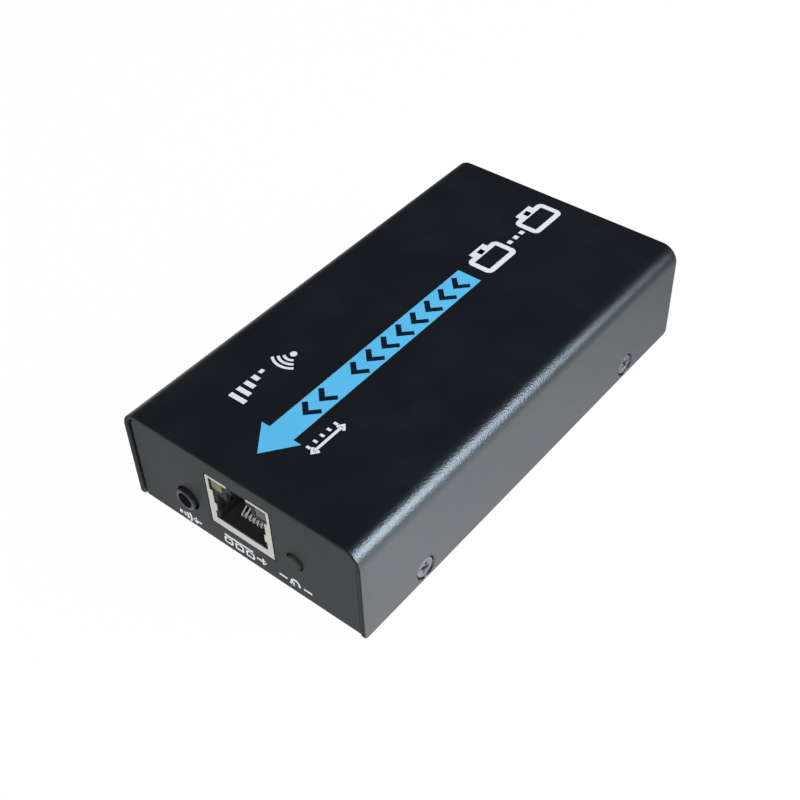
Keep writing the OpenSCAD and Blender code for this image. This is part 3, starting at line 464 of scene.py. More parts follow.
CERAMIC = Finish(
    "ceramic", linear(176, 150, 108), linear(160, 134, 92), roughness=0.5, grain_mm=0.3,
    grain_height_mm=0.003, mottle_mm=1.5,
)
RESISTOR = Finish(
    "resistor_glaze", linear(30, 32, 36), linear(38, 40, 44), roughness=0.35, grain_mm=0.3,
    grain_height_mm=0.002, mottle_mm=1,
)


@dataclass
class Shape:
    """A mesh in the making: points in millimetres, faces, and the nearness of an edge at each point."""

    points: Array
    faces: list[tuple[int, ...]]
    wear: Array | None = None

    def __add__(self, other: "Shape") -> "Shape":
        """Both shapes as one.

        Args:
            other: the second shape, whose points and faces follow the first's.

        Returns:
            The new shape.
        """
        shift = len(self.points)
        moved = [tuple(i + shift for i in face) for face in other.faces]
        wear = None
        if self.wear is not None and other.wear is not None:
            wear = np.concatenate([self.wear, other.wear])
        return Shape(np.concatenate([self.points, other.points]), self.faces + moved, wear)

    def moved(self, turn: Array, shift: Sequence[float]) -> "Shape":
        """The shape with each point turned by a 3 x 3 matrix and then moved."""
        return Shape(self.points @ np.asarray(turn).T + np.asarray(shift), self.faces, self.wear)


def joined(shapes: Iterable[Shape]) -> Shape:
    """All the shapes as one.

    Args:
        shapes: at least one shape.

    Returns:
        The joined shape.
    """
    shapes = list(shapes)
    total = shapes[0]
    for shape in shapes[1:]:
        total = total + shape
    return total


def grid_faces(rows: int, columns: int, wrap_rows: bool = False, wrap_columns: bool = False) -> Array:
    """Faces between the points of a grid that are numbered row by row.

    Args:
        rows: number of rows.
        columns: number of columns.
        wrap_rows: whether the last row meets the first.
        wrap_columns: whether the last column meets the first.

    Returns:
        An array of quads.
    """
    number = np.arange(rows * columns).reshape(rows, columns)
    if wrap_rows:
        number = np.vstack([number, number[:1]])
    if wrap_columns:
        number = np.hstack([number, number[:, :1]])
    return np.stack(
        [number[:-1, :-1], number[:-1, 1:], number[1:, 1:], number[1:, :-1]], axis=-1
    ).reshape(-1, 4)


def closed_rings(rings: Array) -> Shape:
    """Closed skin over a stack of closed rings, with a flat face over the first and the last.

    Args:
        rings: points as [ring, place on the ring, axis].

    Returns:
        The closed shape.
    """
    count, around = rings.shape[:2]
    faces = [tuple(face) for face in grid_faces(count, around, wrap_columns=True).tolist()]
    last = (count - 1) * around
    faces.append(tuple(range(around))[::-1])
    faces.append(tuple(range(last, last + around)))
    return Shape(rings.reshape(-1, 3), faces)


def lathe(profile: Sequence[tuple[float, float]], steps: int = 64) -> Shape:
    """Turned body about Z: the point at angle a and profile place (r, h) is (r cos a, r sin a, h).

    Args:
        profile: radius and height along the outline, from the bottom centre to the top centre.
        steps: number of steps round the axis.

    Returns:
        The closed shape.
    """
    outline = np.array([p for p in profile if p[0] > 0])
    angle = np.linspace(0, 2 * math.pi, steps, endpoint=False)
    rings = np.stack(
        [
            outline[:, :1] * np.cos(angle),
            outline[:, :1] * np.sin(angle),
            np.repeat(outline[:, 1:], steps, axis=1),
        ],
        axis=-1,
    )
    return closed_rings(rings)


def arc(
    centre: Sequence[float], radius: float, start: float, end: float, steps: int
) -> list[tuple[float, float]]:
    """Points on an arc of a circle: at angle a, (x + r cos a, y + r sin a).

    Args:
        centre: the circle's centre, x and y.
        radius: its radius r.
        start: first angle in degrees.
        end: last angle in degrees.
        steps: number of steps between them.

    Returns:
        The points in order.
    """
    angle = np.radians(np.linspace(start, end, steps + 1))
    x = centre[0] + radius * np.cos(angle)
    y = centre[1] + radius * np.sin(angle)
    return list(zip(x.tolist(), y.tolist()))


def smooth_step(value: Array, low: float, high: float) -> Array:
    """Smooth step of an array: 3t² - 2t³, where t runs from 0 at low to 1 at high."""
    t = np.clip((value - low) / (high - low), 0, 1)
    return t * t * (3 - 2 * t)


def fix_normals(mesh: bpy.types.Mesh) -> None:
    """Merges the doubles of a closed mesh and turns its faces outward.

    Args:
        mesh: the mesh, changed in place.
    """
    work = bmesh.new()
    work.from_mesh(mesh)
    bmesh.ops.remove_doubles(work, verts=work.verts, dist=MERGE)
    bmesh.ops.recalc_face_normals(work, faces=work.faces)
    work.to_mesh(mesh)
    work.free()


def mark_edge_faces(mesh: bpy.types.Mesh) -> None:
    """Gives the mesh's second material to the faces whose points all lie near an edge.

    Args:
        mesh: a mesh that holds the nearness of an edge at each point.
    """
    near = np.zeros(len(mesh.vertices), np.float32)
    mesh.attributes[WEAR_LAYER].data.foreach_get("value", near)
    corner = np.zeros(len(mesh.loops), np.int32)
    mesh.loops.foreach_get("vertex_index", corner)
    first = np.zeros(len(mesh.polygons), np.int32)
    mesh.polygons.foreach_get("loop_start", first)
    least = np.minimum.reduceat(near[corner], first)
    mesh.polygons.foreach_set("material_index", (least > EDGE_NEARNESS).astype(np.int32))


def add_piece(
    shape: Shape,
    name: str,
    finish: Finish,
    body: str = CASE,
    stands_for: Sequence[str] = (),
    edge_finish: Finish | None = None,
) -> bpy.types.Object:
    """Makes an object of a shape and ties it to the frame.

    Args:
        shape: the closed shape, in millimetres.
        name: the piece's name.
        finish: its finish.
        body: the CAD body that it rides on.
        stands_for: the CAD nodes that it replaces.
        edge_finish: finish of the faces whose points are all near an edge.

    Returns:
        The new object.
    """
    mesh = bpy.data.meshes.new(name)
    mesh.from_pydata((shape.points * MM).tolist(), [], shape.faces)
    if shape.wear is not None:
        layer = mesh.attributes.new(WEAR_LAYER, "FLOAT", "POINT")
        layer.data.foreach_set("value", shape.wear.astype(np.float32))
    fix_normals(mesh)
    mesh.polygons.foreach_set("use_smooth", np.ones(len(mesh.polygons), bool))
    mesh.set_sharp_from_angle(angle=SMOOTH_ANGLE)
    mesh.materials.append(finish.material())
    if edge_finish:
        mesh.materials.append(edge_finish.material())
        mark_edge_faces(mesh)
    piece = bpy.data.objects.new(name, mesh)
    bpy.context.scene.collection.objects.link(piece)
    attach(piece, body)
    if stands_for:
        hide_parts(*stands_for)
    log.info("%s: %d points, %s", name, len(mesh.vertices), finish.name)
    return piece


def dress_copy(
    node: str,
    name: str,
    finish: Finish,
    edge_mm: float,
    body: str = CASE,
    segments: int = 2,
) -> bpy.types.Object:
    """Makes a copy of a CAD node with merged faces and softened edges, in the node's place.

    Args:
        node: the CAD node.
        name: the piece's name.
        finish: its finish.
        edge_mm: width of the softened edges.
        body: the CAD body that it rides on.
        segments: number of steps across an edge.

    Returns:
        The new object.
    """
    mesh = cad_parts[node].data.copy()
    mesh.name = name
    work = bmesh.new()
    work.from_mesh(mesh)
    bmesh.ops.remove_doubles(work, verts=work.verts, dist=COPY_MERGE)
    bmesh.ops.dissolve_limit(work, angle_limit=FLAT_ANGLE, verts=work.verts, edges=work.edges)
    work.to_mesh(mesh)
    work.free()
    mesh.polygons.foreach_set("use_smooth", np.ones(len(mesh.polygons), bool))
    mesh.materials.clear()
    mesh.materials.append(finish.material())
    piece = bpy.data.objects.new(name, mesh)
    bpy.context.scene.collection.objects.link(piece)
    bevel = piece.modifiers.new("soft_edges", "BEVEL")
    bevel.width = edge_mm * MM
    bevel.segments = segments
    bevel.limit_method = "ANGLE"
    bevel.angle_limit = BEVEL_ANGLE
    bevel.use_clamp_overlap = True
    even = piece.modifiers.new("even_normals", "WEIGHTED_NORMAL")
    even.keep_sharp = True
    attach(piece, body)
    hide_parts(node)
    log.info("%s: copy of %s, %s", name, node, finish.name)
    return piece


def axes(x: Sequence[float], y: Sequence[float], z: Sequence[float]) -> Array:
    """Matrix that turns local X, Y and Z to the three given directions."""
    return np.array([x, y, z], float).T


# Turns of a screw, a button or a printed mark, named by where its face looks or how it reads
FACING_FRONT = axes((1, 0, 0), (0, 0, 1), (0, -1, 0))
FACING_RIGHT = axes((0, 1, 0), (0, 0, 1), (1, 0, 0))
FACING_LEFT = axes((0, -1, 0), (0, 0, 1), (-1, 0, 0))
READING_ON_TOP = axes((0, -1, 0), (1, 0, 0), (0, 0, 1))


@dataclass
class Screw:
    """A countersunk screw with a cross recess, about its own axis with Z towards the driver."""

    head_r: float = 2.3
    shank_r: float = 1.25
    length: float = 4.0
    rim: float = 0.1
    edge: float = 0.14
    cross_l: float = 2.7
    cross_w: float = 0.6
    cross_d: float = 0.85
    cross_rise_share: float = 0.62
    wall: float = 0.16
    middle_r: float = 0.02
    rim_taper: float = 0.02
    face_rings: int = 34
    rim_steps: int = 5
    steps: int = 120

    def outline(self) -> list[tuple[float, float]]:
        """The screw's half section.

        Returns:
            Radius and height from the middle of the face to the tip of the shank.
        """
        flat_r = self.head_r - self.edge
        face = [(float(r), 0.0) for r in np.linspace(self.middle_r, flat_r, self.face_rings)]
        rim = arc((flat_r, -self.edge), self.edge, 90, 0, self.rim_steps)[1:]
        cone = [
            (self.head_r - self.rim_taper, -self.rim - self.edge),
            (self.shank_r, -self.rim - self.edge - self.head_r + self.shank_r),
            (self.shank_r, -self.length + self.edge),
            (self.shank_r - self.edge, -self.length),
        ]
        return face + rim + cone

    def recess(self, x: Array, y: Array) -> Array:
        """Depth of the cross at each point of the face: the deeper of its two arms."""
        return np.maximum(self.arm(x, y), self.arm(y, x))

    def arm(self, along: Array, across: Array) -> Array:
        """Depth of one arm: a slot whose floor rises evenly towards its ends, with smooth walls.

        Args:
            along: distances along the arm from its middle.
            across: distances across it.

        Returns:
            The depths.
        """
        half_l, half_w, half_wall = self.cross_l / 2, self.cross_w / 2, self.wall / 2
        floor = self.cross_d * (1 - self.cross_rise_share * np.clip(np.abs(along) / half_l, 0, 1))
        side = 1 - smooth_step(np.abs(across), half_w - half_wall, half_w + half_wall)
        end = 1 - smooth_step(np.abs(along), half_l - self.wall, half_l)
        return floor * side * end

    def shape(self) -> Shape:
        """The screw as one skin: rings of the outline, lowered by the recess where they are the face.

        Returns:
            The closed shape.
        """
        outline = np.array(self.outline())
        angle = np.linspace(0, 2 * math.pi, self.steps, endpoint=False)
        x = outline[:, :1] * np.cos(angle)
        y = outline[:, :1] * np.sin(angle)
        z = np.repeat(outline[:, 1:], self.steps, axis=1)
        face = outline[:, 1:] > -self.edge / 2
        z = np.where(face, z - self.recess(x, y), z)
        return closed_rings(np.stack([x, y, z], axis=-1))


@dataclass
class Cover:
    """The folded sheet cover: a channel of steel with round bends, open below and at both ends."""

    sheet: float = 1.0
    bend_r: float = 4.0
    edge_r: float = 0.3
    corner_r: float = 1.2
    dimple_r: float = 2.87
    lip_r: float = 2.62
    seat_r: float = 2.44
    hole_r: float = 1.4
    lip_depth: float = 0.14
    seat_depth: float = 0.8
    hole_depth: float = 1.35
    inner_bulge: float = 0.45
    screw_sink: float = 0.3
    bend_steps: int = 18
    top_steps: int = 27
    edge_steps: int = 6
    coarse_step: float = 2.5
    fine_step: float = 0.1
    seat_margin: float = 0.3
    wear_reach: float = 0.9
    corner_reach_share: float = 3.0
    turns: tuple[float, ...] = (37, 12, 64, 25)
    low: Array = field(init=False)
    high: Array = field(init=False)
    screw_places: list[tuple[float, float, float]] = field(init=False)

    def __post_init__(self) -> None:
        """Reads the case's box and the places of the screws from the frame."""
        self.low, self.high = node_box("top_cover")
        screw_low, screw_high = node_box("cover_screws")
        screw_y = screw_high[1] - Screw.head_r
        screw_z = (screw_low[2] + screw_high[2]) / 2
        self.screw_places = [(side, end * screw_y, screw_z) for side in (-1, 1) for end in (-1, 1)]

    def section(self) -> tuple[Array, Array, Array]:
        """The cover's outside line across the case.

        Returns:
            Its points in X and Z, the outward normals, and the distance from the lower edge.
        """
        half = self.high[0]
        bend_z = self.high[2] - self.bend_r
        corner = (self.low[2] + self.corner_r / 2, self.corner_r / 2)
        seat = (self.screw_places[0][2], self.dimple_r + self.seat_margin)
        heights = self.spaced(self.low[2], bend_z, [corner, seat])
        wall = np.stack([np.full_like(heights, -half), heights], axis=1)
        angle = np.radians(np.linspace(180, 90, self.bend_steps + 1))[1:-1]
        bend = np.stack([np.cos(angle), np.sin(angle)], axis=1)
        across = np.linspace(-half + self.bend_r, half - self.bend_r, self.top_steps)
        top = np.stack([across, np.full_like(across, self.high[2])], axis=1)
        left_bend = bend * self.bend_r + [-half + self.bend_r, bend_z]
        points = np.concatenate([wall, left_bend, top, left_bend[::-1] * [-1, 1], wall[::-1] * [-1, 1]])
        out = np.zeros_like(points)
        out[: len(wall)] = (-1, 0)
        out[len(wall) : len(wall) + len(bend)] = bend
        out[len(wall) + len(bend) : len(wall) + len(bend) + len(top)] = (0, 1)
        out[-len(wall) - len(bend) : -len(wall)] = bend[::-1] * [-1, 1]
        out[-len(wall) :] = (1, 0)
        return points, out, points[:, 1] - self.low[2]

    def spaced(self, start: float, end: float, fine: list[tuple[float, float]]) -> Array:
        """Places from start to end, close together at a rounded edge and round each fine spot.

        Args:
            start: first place, at a rounded edge.
            end: last place.
            fine: centre and half width of each stretch that needs close places.

        Returns:
            The places in order.
        """
        quarter = np.linspace(0, math.pi / 2, self.edge_steps)
        places = [start + self.edge_r * (1 - math.cos(t)) for t in quarter]
        coarse = max(int(abs(end - start) / self.coarse_step), 2)
        places += np.linspace(start + self.edge_r, end, coarse).tolist()
        for centre, half in fine:
            places = [p for p in places if abs(p - centre) > half or p < start + self.edge_r + FINE]
            stretch = np.arange(centre - half, centre + half + FINE, self.fine_step)
            places += [p for p in stretch.tolist() if start + self.edge_r < p < end]
        return np.unique(np.round(places, 4))

    def lengths(self) -> Array:
        """Places along Y, mirrored about the middle.

        Returns:
            The places in order.
        """
        screw_y = abs(self.screw_places[0][1])
        rear = -self.spaced(-self.high[1], 0, [(-screw_y, self.dimple_r + self.seat_margin)])
        return np.unique(np.round(np.concatenate([rear, -rear]), 4))

    def rounding(self, distance: Array) -> Array:
        """Drop of a face at a distance from a rounded edge: r - sqrt(r² - (r - d)²) within r."""
        inside = np.clip(self.edge_r - distance, 0, self.edge_r)
        return self.edge_r - np.sqrt(np.maximum(self.edge_r**2 - inside**2, 0))

    def cornered(self, y: Array, height: Array) -> Array:
        """Places along Y with the walls' lower corners cut round.

        A row at height h over the lower edge ends short of the case by s = r - sqrt(r² - (r - h)²),
        and its last stretch of three radii is drawn in evenly.

        Args:
            y: places along Y.
            height: heights over the lower edge.

        Returns:
            The new places along Y.
        """
        inside = np.clip(self.corner_r - height, 0, self.corner_r)
        short = self.corner_r - np.sqrt(np.maximum(self.corner_r**2 - inside**2, 0))
        reach = self.corner_reach_share * self.corner_r
        past = np.clip(np.abs(y) - (self.high[1] - reach), 0, None)
        return y - np.sign(y) * past * short / reach

    def dimple(self, x: Array, y: Array, z: Array) -> Array:
        """Depth of the pressed seat round each screw: a shallow lip, a groove and a cone.

        Args:
            x: places across the case, whose sign tells the side.
            y: places along it.
            z: heights.

        Returns:
            The depths.
        """
        depth = np.zeros_like(y)
        for side, place_y, place_z in self.screw_places:
            distance = np.hypot(y - place_y, z - place_z)
            lip = self.lip_depth * (1 - smooth_step(distance, self.lip_r, self.dimple_r))
            inside = 1 - smooth_step(distance, self.seat_r, self.lip_r)
            seat = (self.seat_depth - self.lip_depth) * inside
            slope = np.clip((self.seat_r - distance) / (self.seat_r - self.hole_r), 0, 1)
            cone = (self.hole_depth - self.seat_depth) * slope
            depth = np.where(np.sign(x) == side, np.maximum(depth, lip + seat + cone), depth)
        return depth

    def shape(self) -> Shape:
        """The cover as one skin.

        The outside is the section carried along Y. The inside is the same grid moved in by the
        sheet's thickness along the section's normal. Both drop towards the sheet's four edges,
        both sink at the screws, and a rim of faces joins them all round. The lower corners are
        drawn in last.

        Returns:
            The closed shape, with the nearness of an edge at each point.
        """
        line, out, low_edge = self.section()
        along = self.lengths()
        count_y, count_s = len(along), len(line)
        x = np.tile(line[:, 0], (count_y, 1))
        z = np.tile(line[:, 1], (count_y, 1))
        y = np.tile(along[:, None], (1, count_s))
        end_edge = self.high[1] - np.abs(y)
        drop = np.minimum(self.rounding(low_edge)[None] + self.rounding(end_edge), self.edge_r)
        seat = self.dimple(x, y, z)
        cornered = self.cornered(y, low_edge)
        skins = []
        for depth in (drop + seat, self.sheet - drop + np.minimum(seat, self.inner_bulge)):
            skin = np.stack([x - out[:, 0] * depth, cornered, z - out[:, 1] * depth], axis=-1)
            skins.append(skin.reshape(-1, 3))
        points = np.concatenate(skins)
        faces = grid_faces(count_y, count_s)
        number = np.arange(count_y * count_s).reshape(count_y, count_s)
        border = np.concatenate([number[0], number[1:, -1], number[-1, -2::-1], number[-2:0:-1, 0]])
        after = np.roll(border, -1)
        shift = count_y * count_s
        rim = np.stack([after, border, border + shift, after + shift], axis=1)
        every = np.concatenate([faces, faces[:, ::-1] + shift, rim])
        nearest = np.minimum(np.tile(low_edge, (count_y, 1)), end_edge)
        nearness = 1 - smooth_step(nearest, 0.0, self.wear_reach)
        wear = np.tile(nearness.reshape(-1), 2)
        return Shape(points, [tuple(face) for face in every.tolist()], wear)

    def screws(self) -> Shape:
        """The four side screws in their seats.

        Returns:
            The screws as one shape.
        """
        shape = Screw().shape()
        placed = []
        for (side, y, z), turn in zip(self.screw_places, self.turns):
            cosine, sine = math.cos(math.radians(turn)), math.sin(math.radians(turn))
            spin = np.array([[cosine, -sine, 0], [sine, cosine, 0], [0, 0, 1]])
            facing = FACING_RIGHT if side > 0 else FACING_LEFT
            placed.append(shape.moved(facing @ spin, (side * (self.high[0] - self.screw_sink), y, z)))
        return joined(placed)

    def build(self) -> None:
        """Makes the cover and its screws."""
        add_piece(
            self.shape(), "cover_sheet", COVER_COAT, stands_for=["top_cover"],
            edge_finish=CUT_EDGE,
        )
        add_piece(
            self.screws(), "side_screws", PLATED_STEEL, stands_for=["cover_screws"]
        )


@dataclass
class Marks:
    """Thin printed marks, drawn as solid strokes on a flat face."""

    turn: Array
    origin: tuple[float, float, float]
    ink_t: float = 0.02
    sunk: float = 0.01
    dot_steps: int = 32
    corner_share: float = 0.16
    corner_steps: int = 6

    def solid(self, outline: Array) -> Shape:
        """A filled outline as a thin closed solid.

        Args:
            outline: corner points in the plane of the face.

        Returns:
            The solid in the object's frame.
        """
        flat = np.asarray(outline, float)
        heights = (-self.sunk, self.ink_t)
        rings = np.stack([np.column_stack([flat, np.full(len(flat), h)]) for h in heights])
        return closed_rings(rings).moved(self.turn, self.origin)

    def stroke(self, points: Sequence[tuple[float, float]], width: float, raised: float = 0.0) -> Shape:
        """A line of even width through a list of points, with mitred bends.

        The two sides stand off each point by half the width over the cosine of half the bend,
        along the mean of the two normals.

        Args:
            points: the line's points in the plane of the face; closed if the last equals the first.
            width: the line's width.
            raised: extra height over the usual ink.

        Returns:
            The solid in the object's frame.
        """
        path = np.asarray(points, float)
        closed = bool(np.allclose(path[0], path[-1]))
        if closed:
            path = path[:-1]
        run = np.roll(path, -1, axis=0) - path
        if not closed:
            run[-1] = run[-2]
        normal = np.stack([-run[:, 1], run[:, 0]], axis=1) / np.linalg.norm(run, axis=1)[:, None]
        before = np.roll(normal, 1, axis=0)
        if not closed:
            before[0] = normal[0]
        mean = normal + before
        mean /= np.linalg.norm(mean, axis=1)[:, None]
        offset = mean * (width / 2 / np.sum(mean * normal, axis=1))[:, None]
        low, top = -self.sunk, self.ink_t + raised
        rows = [
            np.column_stack([path + side * offset, np.full(len(path), height)])
            for side, height in ((1, low), (1, top), (-1, top), (-1, low))
        ]
        rings = np.stack(rows, axis=1)
        if closed:
            faces = grid_faces(len(path), 4, wrap_rows=True, wrap_columns=True).tolist()
            shape = Shape(rings.reshape(-1, 3), [tuple(face) for face in faces])
        else:
            shape = closed_rings(rings)
        return shape.moved(self.turn, self.origin)

    def dot(self, centre: tuple[float, float], radius: float) -> Shape:
        """A round dot."""
        return self.solid(arc(centre, radius, 0, 360, self.dot_steps)[:-1])

    def box(self, centre: tuple[float, float], width: float, height: float, line: float) -> Shape:
        """The outline of a box with rounded corners.

        Args:
            centre: the box's middle.
            width: its width, to the middle of the line.
            height: its height, likewise.
            line: the line's width.

        Returns:
            The solid in the object's frame.
        """
        r = min(width, height) * self.corner_share
        x, y = width / 2 - r, height / 2 - r
        path = []
        for sx, sy, start in ((1, 1, 0), (-1, 1, 90), (-1, -1, 180), (1, -1, 270)):
            corner = (centre[0] + sx * x, centre[1] + sy * y)
            path += arc(corner, r, start, start + 90, self.corner_steps)
        return self.stroke(path + path[:1], line)


@dataclass
class ScreensSign:
    """Two screens on stands with a dashed line between them."""

    start: float = -49.6
    middle: float = -1.4
    places: tuple[float, ...] = (4.6, 22.2)
    width: float = 9.0
    height: float = 5.2
    line: float = 1.3
    up: float = 0.75
    stand_top: float = 1.6
    stand_foot: float = 3.0
    stand_line: float = 1.6
    base_half: float = 2.6
    base_down: float = 3.1
    base_line: float = 1.2
    dash_count: int = 3
    dash_from: float = 11.2
    dash_pitch: float = 2.2
    dash_half: float = 0.6
    dash_line: float = 1.1

    def shape(self, marks: Marks) -> Shape:
        """The sign as thin solids.

        Args:
            marks: the marks of the face that it stands on.

        Returns:
            The joined solids.
        """
        parts = []
        level = self.middle + self.up
        base = self.middle - self.base_down
        for at in (self.start + place for place in self.places):
            parts.append(marks.box((at, level), self.width, self.height, self.line))
            stand = [(at, self.middle - self.stand_top), (at, self.middle - self.stand_foot)]
            parts.append(marks.stroke(stand, self.stand_line))
            foot = [(at - self.base_half, base), (at + self.base_half, base)]
            parts.append(marks.stroke(foot, self.base_line))
        for step in range(self.dash_count):
            at = self.start + self.dash_from + step * self.dash_pitch
            dash = [(at - self.dash_half, level), (at + self.dash_half, level)]
            parts.append(marks.stroke(dash, self.dash_line))
        return joined(parts)


@dataclass
class WaveSign:
    """A dot that sends out waves, and bars that grow, on the left of the arrow."""

    start: float = 22.0
    middle: float = -14.0
    dot_r: float = 0.75
    radii: tuple[float, ...] = (1.9, 3.1, 4.3)
    half_angle: float = 42
    wave_steps: int = 14
    wave_line: float = 0.62
    bar_count: int = 5
    bar_from: float = 7.6
    bar_pitch: float = 2.1
    bar_low: float = 2.1
    bar_high: float = 1.2
    bar_growth: float = 0.82
    bar_line: float = 1.15

    def shape(self, marks: Marks) -> Shape:
        """The sign as thin solids.

        Args:
            marks: the marks of the face that it stands on.

        Returns:
            The joined solids.
        """
        centre = (self.start, self.middle)
        parts = [marks.dot(centre, self.dot_r)]
        for radius in self.radii:
            wave = arc(centre, radius, -self.half_angle, self.half_angle, self.wave_steps)
            parts.append(marks.stroke(wave, self.wave_line))
        for step in range(self.bar_count):
            at = self.start + self.bar_from + step * self.bar_pitch
            top = self.middle - self.bar_high + step * self.bar_growth
            parts.append(marks.stroke([(at, self.middle - self.bar_low), (at, top)], self.bar_line))
        return joined(parts)


@dataclass
class ReachSign:
    """A double arrow over a short scale, for reach, on the right of the arrow's head."""

    start: float = 31.2
    end: float = 40.2
    middle: float = 6.7
    arrow_up: float = 0.5
    arrow_inset: float = 0.5
    barb: float = 1.1
    barb_half: float = 0.9
    arrow_line: float = 0.65
    tick_count: int = 5
    tick_inset: float = 0.6
    tick_low: float = 1.5
    tick_high: float = 0.5
    tick_line: float = 0.6

    def shape(self, marks: Marks) -> Shape:
        """The sign as thin solids.

        Args:
            marks: the marks of the face that it stands on.

        Returns:
            The joined solids.
        """
        level = self.middle + self.arrow_up
        shaft = [(self.start + self.arrow_inset, level), (self.end - self.arrow_inset, level)]
        parts = [marks.stroke(shaft, self.arrow_line)]
        for at, turn in ((self.start, 1), (self.end, -1)):
            back = at + turn * self.barb
            head = [(back, level + self.barb_half), (at, level), (back, level - self.barb_half)]
            parts.append(marks.stroke(head, self.arrow_line))
        pitch = (self.end - self.start - 2 * self.tick_inset) / (self.tick_count - 1)
        for step in range(self.tick_count):
            at = self.start + self.tick_inset + step * pitch
            tick = [(at, self.middle - self.tick_low), (at, self.middle - self.tick_high)]
            parts.append(marks.stroke(tick, self.tick_line))
        return joined(parts)


@dataclass
class TopPrint:
    """The print on top of the cover: an arrow with chevrons, and plain signs beside it."""

    arrow_x: float = -0.8
    arrow_rear: float = 19.3
    arrow_neck: float = -39.9
    arrow_tip: float = -46.5
    shaft_half: float = 3.0
    barb_half: float = 5.05
    chevron_from: float = -16.6
    chevron_pitch: float = 4.75
    chevron_count: int = 11
    chevron_gap_at: int = 8
    chevron_line: float = 1.2
    chevron_reach: float = 2.2
    chevron_rise_share: float = 0.72
    chevron_raised: float = 0.008

    def marks(self) -> Marks:
        """Marks on the top face, read from the rear to the front."""
        return Marks(READING_ON_TOP, (0, 0, node_box("top_cover")[1][2]))

    def arrow(self) -> Shape:
        """The arrow, from its square rear end to its tip.

        Returns:
            The solid.
        """
        shaft, barb = self.shaft_half, self.barb_half
        across = np.array([-shaft, -shaft, -barb, 0, barb, shaft, shaft]) + self.arrow_x
        along = -np.array(
            [
                self.arrow_rear, self.arrow_neck, self.arrow_neck, self.arrow_tip,
                self.arrow_neck, self.arrow_neck, self.arrow_rear,
            ]
        )
        return self.marks().solid(np.column_stack([along, across]))

    def chevrons(self) -> Shape:
        """A row of chevrons on the shaft that point to the arrow's tip, with one left out.

        Returns:
            The joined solids.
        """
        marks = self.marks()
        rise = self.chevron_rise_share * self.shaft_half
        strokes = []
        for i in range(self.chevron_count):
            if i == self.chevron_gap_at:
                continue
            at = self.chevron_from + i * self.chevron_pitch
            tip = (at + self.chevron_reach, self.arrow_x)
            path = [(at, self.arrow_x - rise), tip, (at, self.arrow_x + rise)]
            strokes.append(marks.stroke(path, self.chevron_line, raised=self.chevron_raised))
        return joined(strokes)

    def build(self) -> None:
        """Makes the printed pieces."""
        add_piece(self.arrow(), "printed_arrow", BLUE_INK)
        add_piece(self.chevrons(), "printed_chevrons", DARK_INK)
        marks = self.marks()
        signs = joined(sign.shape(marks) for sign in (ScreensSign(), WaveSign(), ReachSign()))
        add_piece(signs, "printed_top_signs", WHITE_INK)


